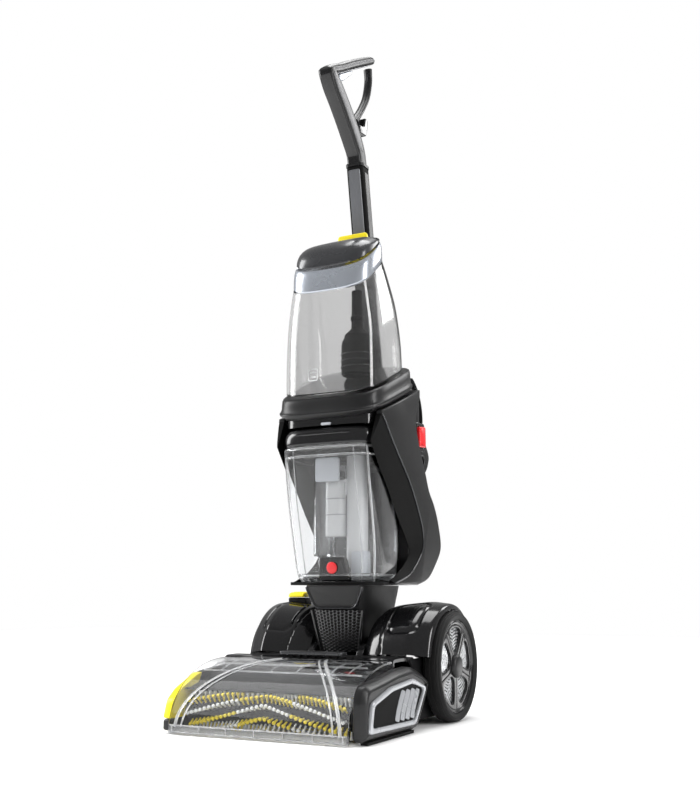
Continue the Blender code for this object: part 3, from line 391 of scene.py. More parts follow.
# A wide soft sun lifts the floor to an even tone.
def makeSun():
    lamp = bpy.data.lights.new("softSun", "SUN")
    lamp.energy = sun["power"]
    lamp.angle = sun["angle"]
    thing = bpy.data.objects.new("softSun", lamp)
    bpy.context.scene.collection.objects.link(thing)
    thing.location = sun["place"]
    thing.visible_glossy = False
    thing.rotation_euler = (-Vector(sun["place"])).to_track_quat("-Z", "Y").to_euler()


sun = {"power": 2.3, "angle": 1.2, "place": (-1.2, -1.0, 2.6)}

makeCamera()
makeRoom()
makeSun()
makeLamps()
print("camera, floor and lamps are set")


# The lowest and highest corner of a node's box.
def corner(node):
    low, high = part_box(node)
    return np.array(low), np.array(high)


windowLow, windowHigh = corner("brush_window")
panelLow, panelHigh = corner("side_panel_right")
leftLow, leftHigh = corner("side_panel_left")
rollLow, rollHigh = corner("bristles_front")
rearRollLow, rearRollHigh = corner("bristles_rear")
wheelLow, wheelHigh = corner("tyre_right")
axleY, axleZ = (wheelLow[1] + wheelHigh[1]) / 2, (wheelLow[2] + wheelHigh[2]) / 2
wheelRadius = (wheelHigh[2] - wheelLow[2]) / 2

nozzle = {"power": 2.1, "thickness": 0.0024, "lip": 0.013, "ribFoot": 0.124, "ribHead": 0.036, "rib": 0.0026,
          "ribGap": 0.010, "posts": 7, "post": 0.0009, "ledge": 0.0010}
ledges = ((0.66, 0.122), (0.80, 0.118), (0.93, 0.112))
crossRibs = (-0.118, -0.098, -0.072, -0.020, 0.020, 0.072, 0.098)


# Superellipse u^n + v^n = 1 from the lip (s = 0) up and back to the hood (s = 1), pushed inwards.
def noseLine(s, inwards=0.0):
    front, back = windowLow[1], windowHigh[1]
    low, high = windowLow[2], windowHigh[2]
    turn = np.asarray(s) * math.pi / 2
    n = nozzle["power"]
    y = back - (back - front - inwards) * np.cos(turn) ** (2 / n)
    z = low + (high - low - inwards) * np.sin(turn) ** (2 / n)
    return np.stack([y, z], axis=-1)


# Clear plastic with a near-white diffuse share: the white is a painted glint that makes thin clear ribs, ledges
# and edges read as bright lines.
glintClear = finish("clearEdgePlastic", (0.93, 0.94, 0.95), (0.97, 0.975, 0.98), 0.06, 0.02, bump=0.0, broad=8,
                   clear=0.72)
lipClear = finish("lipPlastic", (0.95, 0.955, 0.96), (0.98, 0.98, 0.985), 0.10, 0.04, bump=0.0, broad=8,
                  clear=0.86)


# A sheet between the nose line and the same line drawn in, with ribs, ledges and a thick lip.
def makeWindow():
    s = np.linspace(0, 1, 40)
    outer, inner = noseLine(s), noseLine(s[::-1], nozzle["thickness"])
    loop = np.vstack([outer, inner])
    xs = np.linspace(windowLow[0], windowHigh[0], 24)
    shell = surface("brushWindow", [atX(loop, x) for x in xs], skins["clear"])
    settle(shell, "window_body", "clear", "brush_window")

    # the two ribs of the suction fan leave the lip's corners and close in towards the latch; their near-white
    # share is a painted glint
    def rib(name, side, gap, width):
        s = np.linspace(0.05, 0.985, 60)
        across = nozzle["ribHead"] + (nozzle["ribFoot"] - nozzle["ribHead"]) * np.cos(s * math.pi / 2) ** 1.25
        line = noseLine(s, 0.0006)
        middle = (windowLow[0] + windowHigh[0]) / 2
        path = np.column_stack([middle + side * (across - gap), line])
        piece = tube(name, path, width, glintClear, 10, (1.0, 0.62))
        return settle(piece, "window_body", "clear")

    for side, word in ((-1, "Left"), (1, "Right")):
        rib("fanRib" + word, side, 0.0, nozzle["rib"])
        rib("fanRibInner" + word, side, nozzle["ribGap"], nozzle["rib"] * 0.6)
    bar = noseLine(np.array([0.02]))[0]
    lipOutline = roundedOutline([(bar[0] + 0.0002, 0.0032), (bar[0] + 0.0062, 0.0032),
                                 (bar[0] + 0.0062, nozzle["lip"]), (bar[0] + 0.0008, nozzle["lip"])], 0.0012)
    lip = plate("nozzleLip", lipOutline, (windowLow[0] + 0.001, windowHigh[0] - 0.001), 0.0008, lipClear)
    settle(lip, "window_body", "clear")
    for number in range(nozzle["posts"]):
        x = windowLow[0] + 0.006 + number * (windowHigh[0] - windowLow[0] - 0.012) / (nozzle["posts"] - 1)
        post = np.array([(x, bar[0] + 0.0004, 0.0036), (x, bar[0] + 0.0002, 0.008),
                         (x, bar[0] + 0.0008, nozzle["lip"])])
        settle(tube("lipPost%d" % number, post, nozzle["post"], glintClear, 8), "window_body", "clear")
    # painted highlights: two near-white tubes along the lip's foot and top stand for the bright glints on its
    # edges
    for number, z in enumerate((0.0040, nozzle["lip"] - 0.0004)):
        path = np.column_stack([np.linspace(windowLow[0] + 0.002, windowHigh[0] - 0.002, 20),
                                np.full(20, bar[0] + 0.0008), np.full(20, z)])
        settle(tube("lipGlintLine%d" % number, path, nozzle["post"], glintClear, 8), "window_body", "clear")
    # ledges across the window and between the ribs
    for number, (s, reach) in enumerate(ledges):
        line = noseLine(np.array([s]), nozzle["thickness"] + 0.0012)[0]
        path = np.column_stack([np.linspace(-reach, reach, 30) - 0.004, np.full(30, line[0]),
                                np.full(30, line[1])])
        settle(tube("windowLedge%d" % number, path, nozzle["ledge"], glintClear, 8), "window_body", "clear")
    for number, x in enumerate(crossRibs):
        s = np.linspace(0.66, 0.97, 12)
        line = noseLine(s, nozzle["thickness"] + 0.0010)
        path = atX(line, x)
        settle(tube("windowRib%d" % number, path, nozzle["post"], glintClear, 8), "window_body", "clear")


shield = {"radius": 0.0285, "wall": 0.0014, "from": 104, "to": 78, "side": 0.002}


# The dark shield over the front roll: an arc about its axis that runs on as a slope to the hood.
def makeHousing():
    y, z = (rollLow[1] + rollHigh[1]) / 2, (rollLow[2] + rollHigh[2]) / 2
    turn = np.radians(np.linspace(shield["from"], shield["to"], 18))
    arc = np.column_stack([y + shield["radius"] * np.cos(turn), z + shield["radius"] * np.sin(turn)])
    run = smoothLine([arc[-1], (-0.128, 0.0655), (-0.098, 0.0760), (-0.0775, 0.0815)], 14)[1:]
    outer = np.vstack([arc, run])
    rest = len(run)
    across = np.concatenate([np.cos(turn), np.zeros(rest)])
    upwards = np.concatenate([np.sin(turn), np.ones(rest)])
    inner = outer - shield["wall"] * np.column_stack([across, upwards])
    loop = np.vstack([outer, inner[::-1]])
    xs = np.linspace(leftHigh[0] + shield["side"], panelLow[0] - shield["side"], 12)
    cover = surface("rollShield", [atX(loop, x) for x in xs], skins["matte_black"])
    settle(cover, "base", "satin_dark")


rollShape = {"rows": 9, "turns": 0.22, "tufts": 36, "tuftRadius": 0.0017, "flare": 1.45}


# Tufts stand on helices: tuft k of row r sits at angle phase + 2 pi r / rows + turn * k.
# Each is a ring of points that widens from its root to a blunt tip.
def makeTufts(name, low, high, body, nodes, phase):
    y, z = (low[1] + high[1]) / 2, (low[2] + high[2]) / 2
    tip = (high[2] - low[2]) / 2
    rows, count = rollShape["rows"], rollShape["tufts"]
    r, k = np.meshgrid(np.arange(rows), np.arange(count), indexing="ij")
    x = (low[0] + 0.004 + (high[0] - low[0] - 0.008) * (k + 0.5) / count).ravel()
    fold = np.abs(2 * (k + 0.5) / count - 1)
    angle = (phase + 2 * math.pi * r / rows + rollShape["turns"] * 2 * math.pi * fold).ravel()
    sides = 8
    ring = np.linspace(0, 2 * math.pi, sides, endpoint=False)
    heights = np.array([tip * 0.55, tip * 0.80, tip * 0.87, tip * 0.96, tip])
    widths = rollShape["tuftRadius"] * np.array([0.7, 0.8, rollShape["flare"] * 0.9, rollShape["flare"], 0.8])
    outward = np.stack([np.zeros_like(angle), np.cos(angle), np.sin(angle)], axis=-1)
    around = np.stack([np.zeros_like(angle), -np.sin(angle), np.cos(angle)], axis=-1)
    centre = np.stack([x, np.full_like(x, y), np.full_like(x, z)], axis=-1)
    points = (centre[:, None, None] + outward[:, None, None] * heights[None, :, None, None]
              + widths[None, :, None, None] * (np.cos(ring)[None, None, :, None] * np.array([1.0, 0, 0])
                                               + np.sin(ring)[None, None, :, None] * around[:, None, None]))
    colour = (r.ravel() + (k.ravel() // 12)) % 2
    for word, pick, skin in (("White", colour == 0, skins["bristle"]), ("Yellow", colour == 1, yellowBristle)):
        chosen = points[pick]
        total = len(chosen)
        index = np.arange(total * 5 * sides).reshape(total, 5, sides)
        around1 = np.roll(index, -1, axis=2)
        quads = np.stack([index[:, :-1], around1[:, :-1], around1[:, 1:], index[:, 1:]], axis=-1).reshape(-1, 4)
        faces = quads.tolist() + index[:, -1].tolist() + index[:, 0, ::-1].tolist()
        tufts = meshPiece(name + word, chosen.reshape(-1, 3), faces, skin, 50)
        settle(tufts, body, "bristle", *(nodes if word == "White" else ()))


# Two tufted rolls, each on a turned core.
def makeRolls():
    makeTufts("frontTufts", rollLow, rollHigh, "roll_front_body", ("bristles_front",), 0.5)
    makeTufts("rearTufts", rearRollLow, rearRollHigh, "roll_rear_body", ("bristles_rear",), 1.3)
    for word in ("front", "rear"):
        low, high = corner("roll_" + word)
        y, z = (low[1] + high[1]) / 2, (low[2] + high[2]) / 2
        x0, x1 = rollLow[0] - 0.001, rollHigh[0] + 0.001
        groove = np.linspace(0, 1, 60)
        # a core with shallow rings, its ends stepped down to the stubs
        radius = 0.0150 + 0.0004 * np.sin(groove * math.pi * 40) ** 2
        profile = [(0.0001, low[0]), (0.004, low[0]), (0.004, x0)]
        profile += np.column_stack([radius, x0 + (x1 - x0) * groove]).tolist()
        profile += [(0.004, x1), (0.004, high[0]), (0.0001, high[0])]
        core = turned("rollCore" + word.title(), profile, (0, y, z), skins["matte_black"], 40)
        settle(core, "roll_%s_body" % word, "matte_black", "roll_" + word)


shoulderShape = {"stretch": 0.17, "shell": 0.004, "from": 169, "to": 15, "rim": 0.003, "rimWidth": 0.006,
                 "groove": 0.0024, "panelDrop": 0.0006, "seam": 0.0016, "clearance": 0.003}
shoulderPanel = {"x": 0.104, "halfX": 0.024, "angle": 128, "halfAngle": 22, "power": 5, "edge": 0.055}
shoulderStations = np.array([(0.0465, 0.074), (0.055, 0.083), (0.071, 0.088), (0.093, 0.0905), (0.120, 0.093),
                             (0.1478, 0.0898)])


# Radius about the axle grows from the neck outwards, and stretches ahead of the axle by cos^1.5.
def makeShoulders():
    x = np.linspace(shoulderStations[0, 0], shoulderStations[-1, 0], 60)
    radius = np.interp(x, shoulderStations[:, 0], shoulderStations[:, 1])
    kernel = np.ones(7) / 7
    radius = np.convolve(np.pad(radius, 3, mode="edge"), kernel, mode="valid")
    edge = np.clip((x[-1] - x) / shoulderShape["rimWidth"], 0, 1)
    radius = radius - shoulderShape["rim"] * (1 - np.sqrt(1 - (1 - edge) ** 2))
    angle = np.radians(np.linspace(shoulderShape["from"], shoulderShape["to"], 90))[None, :]
    stretch = shoulderShape["stretch"] * np.clip((x[-1] - x) / 0.03, 0, 1)[:, None]
    reach = radius[:, None] * (1 + stretch * np.clip(-np.cos(angle), 0, 1) ** 1.5)
    # a raised panel: its rim runs round a rounded rectangle in (x, angle)
    u = (x[:, None] - shoulderPanel["x"]) / shoulderPanel["halfX"]
    v = (np.degrees(angle) - shoulderPanel["angle"]) / shoulderPanel["halfAngle"]
    power = shoulderPanel["power"]
    distance = (np.abs(u) ** power + np.abs(v) ** power) ** (1 / power)
    groove = np.exp(-((distance - 1) / shoulderPanel["edge"]) ** 2)
    panel = 1 / (1 + np.exp((distance - 1) / 0.03))
    second = np.exp(-((x[:,
                         None] - 0.068 - 0.00025 * (np.degrees(angle) - shoulderPanel["angle"])) / 0.0010) ** 2)
    reach = reach - shoulderShape["groove"] * groove - shoulderShape["panelDrop"] * panel
    reach = reach - shoulderShape["seam"] * second * (angle > 1.2)
    inside = np.minimum(reach - shoulderShape["shell"], wheelRadius + shoulderShape["clearance"])
    for side, word in ((-1, "left"), (1, "right")):
        outer = np.stack([np.broadcast_to(side * x[:, None], reach.shape), axleY + reach * np.cos(angle),
                          axleZ + reach * np.sin(angle)], axis=-1)
        inner = np.stack([np.broadcast_to(side * x[:, None], reach.shape), axleY + inside * np.cos(angle),
                          axleZ + inside * np.sin(angle)], axis=-1)
        grid = np.concatenate([outer, inner[:, ::-1]], axis=1)
        piece = surface("shoulder" + word.title(), grid, skins["gloss_black"])
        settle(piece, "base", "gloss_black", "shoulder_" + word)


wheelShape = {"windows": 5, "spoke": 0.30, "hub": 0.017, "rim": 0.060, "chevrons": 9, "windowCentre": 0.036,
              "faceFar": 0.0062, "faceNear": 0.0105, "back": 0.0598, "crown": 0.0035, "rib": 0.0007}


# A window between two spokes: an outline round a sector that is rounder at the rim, in (y, z).
def petal(turn, shrink=0.0):
    inner, outer = wheelShape["hub"] + 0.004 + shrink, wheelShape["rim"] - 0.003 - shrink
    half = math.pi / wheelShape["windows"] - wheelShape["spoke"] / 2
    points = []
    for radius, share in ((inner, -0.62), (outer * 0.72, -0.98), (outer * 0.95, -0.92), (outer * 1.0, -0.45),
                          (outer * 1.0, 0.45), (outer * 0.95, 0.92), (outer * 0.72, 0.98), (inner, 0.62)):
        angle = turn + half * share * (1 - shrink * 8)
        points.append((radius * math.cos(angle), radius * math.sin(angle)))
    return roundedOutline(points, 0.006, 5)


# Tyre, rim and hub are turned; five wedges of the face each hold one window and its insert.
def makeWheels():
    for side, word in ((-1, "left"), (1, "right")):
        body = "wheel_%s_body" % word
        inner, outer = (abs(wheelLow[0]), abs(wheelHigh[0]))
        middle = side * (inner + outer) / 2
        half = (outer - inner) / 2
        centre = (middle, axleY, axleZ)
        tread = np.linspace(-1, 1, 33)
        crown = wheelRadius - wheelShape["crown"] * np.abs(tread) ** 4
        ribs = wheelShape["rib"] * (np.abs(np.sin(tread * math.pi * 3.5)) < 0.25)
        profile = [(0.0668, -half + 0.004), (0.0695, -half + 0.0012), (0.074, -half + 0.0004)]
        profile += np.column_stack([crown - ribs, tread * (half - 0.0012)]).tolist()
        profile += [(0.074, half - 0.0004), (0.0695, half - 0.0012), (0.0668, half - 0.004)]
        tyre = turned("tyre" + word.title(), profile, centre, skins["tyre"], 96, closed=True)
        settle(tyre, body, "tyre", "tyre_" + word)
        # rim ring, dished face with petal windows, hub
        rim = [(0.0600, -half + 0.006), (0.0600, half - 0.007), (0.0612, half - 0.0055),
               (0.0630, half - 0.0050), (0.0645, half - 0.0058), (0.0656, half - 0.0040),
               (0.0662, half - 0.0044), (0.0662, -half + 0.006)]
        settle(turned("wheelRim" + word.title(), rim, centre, skins["gloss_black"], 96, closed=True), body,
               "gloss_black")
        circle = np.linspace(0, 2 * math.pi, 72, endpoint=False)
        disc = np.column_stack([axleY + wheelShape["back"] * np.cos(circle),
                                axleZ + wheelShape["back"] * np.sin(circle)])
        back = plate("wheelBack" + word.title(), disc, sorted((middle - 0.004 * side, middle + 0.0025 * side)),
                     0.0005, skins["matte_black"])
        settle(back, body, "matte_black", "wheel_" + word)
        faceFar = side * (outer - wheelShape["faceFar"])
        faceNear = side * (outer - wheelShape["faceNear"])
        for number in range(wheelShape["windows"]):
            turn = math.pi / 2 + 2 * math.pi * number / wheelShape["windows"]
            rimPoint = petal(turn) + (axleY, axleZ)
            # each fifth of the face is a wedge round its own window
            towards = wheelShape["windowCentre"] * np.array([math.cos(turn), math.sin(turn)])
            direction = np.arctan2(*(rimPoint - (axleY, axleZ) - towards).T[::-1])
            outline = wedge(turn, math.pi / wheelShape["windows"], direction)
            piece = frameLike("wheelSpoke%s%d" % (word.title(), number), outline + (axleY, axleZ), rimPoint,
                              (faceNear, faceFar), 0.0006 * side, skins["gloss_black"])
            settle(piece, body, "gloss_black")
            makeInsert(word, number, turn, side, faceNear, body)
        hub = [(0.0001, half - 0.0002), (0.011, half - 0.0002), (0.0145, half - 0.0012),
               (0.0165, half - 0.0035), (0.0170, half - 0.0070), (0.0170, half - 0.012), (0.0001, half - 0.012)]
        hub = [(r, side * a) for r, a in hub]
        settle(turned("hubCap" + word.title(), hub, centre, skins["satin_dark"], 48), body, "satin_dark")


# The outer outline of a fifth of the wheel face, met from the window's centre along each direction.
def wedge(turn, half, direction):
    origin = wheelShape["windowCentre"] * np.array([math.cos(turn), math.sin(turn)])
    ray = np.column_stack([np.cos(direction), np.sin(direction)])
    rim = wheelShape["rim"] + 0.0006
    b = ray @ origin
    reach = -b + np.sqrt(b ** 2 - origin @ origin + rim ** 2)
    for sign in (-1, 1):
        normal = np.array([-math.sin(turn + sign * half), math.cos(turn + sign * half)]) * sign
        speed = ray @ normal
        gap = -(origin @ normal)
        reach = np.where(speed > 1e-6, np.minimum(reach, gap / np.maximum(speed, 1e-6)), reach)
    return origin + ray * reach[:, None]


# A silver plate behind the window, its face pressed with chevrons that point to the hub.
def makeInsert(word, number, turn, side, face, body):
    rows, columns = 40, 15
    radius = np.linspace(wheelShape["hub"] + 0.003, wheelShape["rim"] - 0.002, rows)[:, None]
    half = (math.pi / wheelShape["windows"] - wheelShape["spoke"] / 2 + 0.03)
    across = np.linspace(-1, 1, columns)[None, :]
    angle = turn + half * across
    wave = np.abs(((radius - 0.010 * np.abs(across)) * wheelShape["chevrons"] / 0.045) % 1.0 - 0.5) * 2
    height = face - side * (0.0016 - 0.0013 * (wave > 0.45))
    top = np.stack([height + 0 * angle, axleY + radius * np.cos(angle), axleZ + radius * np.sin(angle)],
                   axis=-1)
    bottom = top.copy()
    bottom[..., 0] = face - side * 0.0030
    grid = np.concatenate([top, bottom[:, ::-1]], axis=1)
    piece = surface("wheelInsert%s%d" % (word.title(), number), grid, chevronSilver, crease=30)
    settle(piece, body, "silver_paint")


makeWindow()
makeHousing()
makeRolls()
makeShoulders()
makeWheels()
print("foot surfaces and wheels are made")


trimLow, trimHigh = corner("side_trim_right")
wheelFront = 0.014

panelShape = {"louvres": 4, "first": -0.104, "pitch": 0.0158}


# A thick bevelled plate, a raised silver frame, a sunken black bed and curved louvres.
def makeRightPanel():
    front, face = panelLow[1], panelHigh[0]
    outline = roundedOutline([(front, 0.004), (-0.030, 0.004), (wheelFront - 0.014, 0.040),
                              (wheelFront, 0.065), (-0.014, 0.078), (-0.047, 0.087), (-0.093, 0.084),
                              (-0.139, 0.077), (front + 0.010, 0.071), (front, 0.056)], 0.009, 8)
    rings = insetRings(outline, ((panelLow[0], 0.0015), (panelLow[0] + 0.0015, 0.0), (face - 0.0075, 0.0),
                                 (face - 0.0068, 0.0005), (face - 0.0030, 0.0035), (face - 0.0012, 0.0058),
                                 (face - 0.0002, 0.0078), (face - 0.0002, 0.0095), (face - 0.0014, 0.0102)))
    settle(surface("panelRight", rings, skins["satin_dark"]), "base", "satin_dark", "side_panel_right")

    outer = roundedOutline([(front + 0.008, 0.014), (-0.045, 0.012), (wheelFront - 0.022, 0.058),
                            (-0.052, 0.072), (-0.120, 0.066), (front + 0.016, 0.050)], 0.007, 9)
    inner = roundedOutline([(front + 0.0165, 0.0205), (-0.0485, 0.0185), (wheelFront - 0.0305, 0.0560),
                            (-0.0545, 0.0655), (-0.1175, 0.0600), (front + 0.0225, 0.0462)], 0.006, 9)
    face = trimHigh[0]
    rings = []
    for x, d, which in ((trimLow[0] - 0.002, 0.0, outer), (face - 0.0016, 0.0, outer),
                        (face - 0.0005, 0.0005, outer), (face, 0.0016, outer), (face - 0.0001, -0.0012, inner),
                        (face - 0.0007, -0.0004, inner), (trimLow[0] - 0.002, 0.0, inner)):
        line = inset(which, d)
        rings.append(atX(line, x))
    settle(surface("trimRight", rings, trimGrey, ring=True), "base", "silver_paint", "side_trim_right")
    # the sunken bed: its outline sits just inside the frame and dips towards the front
    rings = insetRings(inner, ((trimLow[0] - 0.0005, -0.0005), (trimLow[0] - 0.0010, 0.0010),
                               (trimLow[0] - 0.0012, 0.0040), (trimLow[0] - 0.0012, 0.0080)))
    settle(surface("panelBed", rings, deepBlack), "base", "satin_dark")
    top = lambda y: np.interp(y, [front + 0.0225, -0.1175, -0.0545, wheelFront - 0.0305],
                              [0.0462, 0.0600, 0.0655, 0.0560])
    for number in range(panelShape["louvres"]):
        foot = panelShape["first"] + number * panelShape["pitch"]
        line = smoothLine([(foot, 0.0215), (foot + 0.0045, 0.0330), (foot + 0.0125, 0.0460),
                           (foot + 0.0215, 0.0585)], 40)
        line = line[line[:, 1] < top(line[:, 0]) - 0.0030]
        reach = np.interp(np.linspace(0, 1, len(line)), [0, 0.06, 0.9, 1], [0.0024, 0.0038, 0.0038, 0.0020])
        normal = -normalsOf(line)
        rings = []
        for point, side, half in zip(line, normal, reach):
            u = np.array([-1, -0.92, 0.2, 0.85, 1.0, 1.0, -1.0])
            x = trimLow[0] + np.array([-0.001, 0.0000, 0.0019, 0.0026, 0.0020, -0.0015, -0.0015])
            rings.append(np.column_stack([x, point + side * (u * half)[:, None]]))
        settle(surface("louvre%d" % number, rings, trimGrey), "base", "silver_paint")


# The left side plate, its yellow cap with a rolled front edge and a dark oval screw.
def makeLeftPanel():
    front, face = leftLow[1], leftLow[0]
    seam = 0.019
    outline = roundedOutline([(front, 0.004), (-0.030, 0.004), (wheelFront - 0.014, 0.040),
                              (wheelFront, 0.062), (-0.034, 0.086), (-0.126, 0.076), (front + 0.040, seam),
                              (front, seam)], 0.004, 8)
    rings = insetRings(outline, ((leftHigh[0], 0.001), (leftHigh[0] - 0.001, 0.0), (face + 0.0040, 0.0),
                                 (face + 0.0018, 0.0010), (face + 0.0004, 0.0030), (face, 0.0052),
                                 (face + 0.0002, 0.0070)))
    settle(surface("panelLeft", rings, skins["satin_dark"]), "base", "satin_dark", "side_panel_left")
    outline = roundedOutline([(front, seam + 0.0004), (front + 0.0395, seam + 0.0004), (-0.1267, 0.0757),
                              (-0.140, 0.0728), (front + 0.024, 0.057), (front + 0.007, 0.043)], 0.005, 8)
    rings = insetRings(outline, ((leftHigh[0] + 0.0004, 0.001), (leftHigh[0] - 0.0008, 0.0),
                                 (face + 0.0030, 0.0), (face + 0.0010, 0.0008), (face + 0.0001, 0.0024),
                                 (face, 0.0040), (face + 0.0008, 0.0060), (face + 0.0010, 0.0075)))
    settle(surface("endCap", rings, skins["yellow"]), "base", "yellow", "end_cap_left")
    low, high = corner("end_cap_screw")
    centre = (0.0, (low[1] + high[1]) / 2, (low[2] + high[2]) / 2)
    profile = [(0.0001, high[0]), (0.0058, high[0]), (0.0058, low[0] + 0.0006), (0.0052, low[0]),
               (0.0038, low[0] + 0.0002), (0.0034, low[0] + 0.0012), (0.0001, low[0] + 0.0012)]
    screw = turned("endCapScrew", profile, centre, skins["matte_black"], 36)
    settle(screw, "base", "matte_black", "end_cap_screw")
    slot = roundedBox((centre[1] - 0.0032, centre[1] + 0.0032), (centre[2] - 0.0007, centre[2] + 0.0007),
                      0.0005, 4)
    settle(plate("screwBar", slot, (low[0] + 0.0002, low[0] + 0.0014), 0.0002, skins["steel"]), "base",
           "matte_black")


combTeeth = 420


# Rows of short bristles under each side plate, merged into one comb with a saw-cut foot.
def makeEdgeBrushes():
    for word in ("left", "right"):
        low, high = corner("edge_brush_" + word)
        count = combTeeth
        y = np.linspace(low[1], high[1], count)
        tip = low[2] + 0.0009 * (np.arange(count) % 3) / 2
        rings = []
        for place, foot in zip(y, tip):
            rings.append([(low[0], place, high[2]), (high[0], place, high[2]), (high[0] - 0.0006, place, foot),
                          (low[0] + 0.0006, place, foot)])
        settle(surface("edgeBrush" + word.title(), rings, skins["rubber"]), "base", "rubber",
               "edge_brush_" + word)


hoodShape = {"skin": 0.0040, "hollow": 0.0016, "hollowHalf": 0.118, "vents": 11, "firstVent": -0.060,
             "ventPitch": 0.012, "vent": 0.0016}


# The hood's curved cover with a sunken middle, a raised rear rib and a row of vent slots.
def makeHood():
    low, high = corner("brush_hood")
    profile = smoothLine([(low[1], 0.0785), (low[1] + 0.0002, high[2] - 0.0045),
                          (low[1] + 0.004, high[2] - 0.0012), (low[1] + 0.012, high[2] - 0.0002),
                          (high[1] - 0.024, high[2] - 0.0002), (high[1] - 0.010, high[2] - 0.0030),
                          (high[1] - 0.0020, high[2] - 0.0085), (high[1], high[2] - 0.0150), (high[1], 0.0600),
                          (high[1], 0.0235)], 90)
    inward = -normalsOf(profile)
    xs = np.linspace(low[0], high[0], 90)
    share = np.linspace(0, 1, 90)
    grid = []
    for x in xs:
        hollow = hoodShape["hollow"] * np.clip((hoodShape["hollowHalf"] - abs(x)) / 0.006, 0, 1)
        hollow = hollow * np.clip((share - 0.10) / 0.03, 0, 1) * np.clip((0.52 - share) / 0.03, 0, 1)
        top = profile + inward * hollow[:, None]
        under = (profile + inward * hoodShape["skin"])[::-1]
        flat = np.vstack([top, under])
        grid.append(atX(flat, x))
    settle(surface("brushHood", grid, skins["gloss_black"]), "base", "satin_dark", "brush_hood")
    for number in range(hoodShape["vents"]):
        x = hoodShape["firstVent"] + number * hoodShape["ventPitch"]
        line = smoothLine([(x, high[1] - 0.040, high[2] - 0.0012), (x, high[1] - 0.026, high[2] - 0.0013),
                           (x, high[1] - 0.016, high[2] - 0.0030)], 16)
        settle(tube("hoodVent%d" % number, line, hoodShape["vent"], skins["matte_black"], 8), "base",
               "satin_dark")


# The latch slider as a rounded plate, with grip ridges.
def makeWindowLatch():
    low, high = corner("window_latch")
    middle = ((low[0] + high[0]) / 2, (low[1] + high[1]) / 2)
    outline = roundedBox((low[0], high[0]), (low[1], high[1]), 0.005, 7)
    settle(plate("windowLatch", outline, (low[2], high[2] - 0.0008), 0.0016, skins["gunmetal"], 6, "Z"),
           "window_latch_body", "silver_paint", "window_latch")
    for number in range(4):
        y = middle[1] - 0.0045 + number * 0.003
        line = [(low[0] + 0.005, y, high[2] - 0.0009), (middle[0], y, high[2] - 0.0007),
                (high[0] - 0.005, y, high[2] - 0.0009)]
        settle(tube("latchRidge%d" % number, smoothLine(line, 12), 0.0007, skins["satin_dark"], 8),
               "window_latch_body", "silver_paint")


# The yellow recline pedal over a black ramp that carries it on the left shoulder.
def makePedal():
    low, high = corner("recline_pedal")
    outline = roundedOutline([(low[1], low[2]), (high[1], low[2]), (high[1], high[2] - 0.001),
                              (low[1] + 0.010, high[2]), (low[1] + 0.002, high[2] - 0.002)], 0.0028, 7)
    settle(plate("reclinePedal", outline, (low[0], high[0]), 0.0022, skins["yellow"], 6), "pedal_body",
           "yellow", "recline_pedal")
    for number in range(5):
        y = low[1] + 0.012 + number * 0.005
        line = [(low[0] + 0.004, y, high[2] - 0.0004), ((low[0] + high[0]) / 2, y, high[2]),
                (high[0] - 0.004, y, high[2] - 0.0004)]
        settle(tube("pedalRidge%d" % number, smoothLine(line, 12), 0.0008, skins["yellow"], 8), "pedal_body",
               "yellow")
    base = roundedOutline([(low[1] + 0.006, low[2] - 0.0150), (high[1] - 0.004, low[2] - 0.0150),
                           (high[1] - 0.002, low[2] - 0.0004), (low[1] + 0.004, low[2] - 0.0004)], 0.004, 7)
    settle(plate("pedalBase", base, (low[0] - 0.002, high[0] + 0.002), 0.0018, skins["matte_black"], 6),
           "base", "matte_black")


# The dark deck and cheeks that close the foot between its hood, its shoulders and the neck.
def makeDeck():
    profile = roundedOutline([(-0.0116, 0.0760), (0.0035, 0.0760), (0.0035, 0.0950), (-0.0040, 0.0972),
                              (-0.0116, 0.0925)], 0.003, 6)
    settle(plate("footDeck", profile, (-0.128, 0.128), 0.0010, skins["matte_black"]), "base", "matte_black")
    cheek = roundedOutline([(0.0040, 0.0780), (0.0040, 0.1000), (0.0200, 0.1120), (0.0550, 0.1180),
                            (0.0850, 0.1150), (0.0850, 0.0700), (0.0300, 0.0700)], 0.008, 6)
    for word, span in (("Left", (-0.0463, -0.0352)), ("Right", (0.0352, 0.0463))):
        settle(plate("neckCheek" + word, cheek, span, 0.0015, skins["gloss_black"]), "base", "matte_black")


trimGrey = finish("trimGrey", (0.40, 0.41, 0.43), (0.46, 0.47, 0.49), 0.26, 0.05, 0.35, bump=0.04, coat=0.3)

makeRightPanel()
makeLeftPanel()
makeEdgeBrushes()
makeHood()
makeWindowLatch()
makePedal()
makeDeck()
print("foot panels, hood and pedal are made")


collarLow, collarHigh = corner("collar")
tankLow, tankHigh = corner("dirty_tank")
lidLow, lidHigh = corner("dirty_lid")
cleanLow = corner("clean_tank")[0]
neckLow, neckHigh = corner("neck")
chinLow, chinHigh = corner("chin_panel")
frameHigh = corner("side_frame_right")[1]
channelLow, channelHigh = corner("side_channel_right")
postLow, postHigh = corner("post")

neckShape = {"dimples": (13, 13), "dimple": 0.0020, "half": 0.0300, "widening": 0.0105, "front": 0.0215,
             "lean": 0.0085, "bow": 0.0075, "edge": 0.0022}


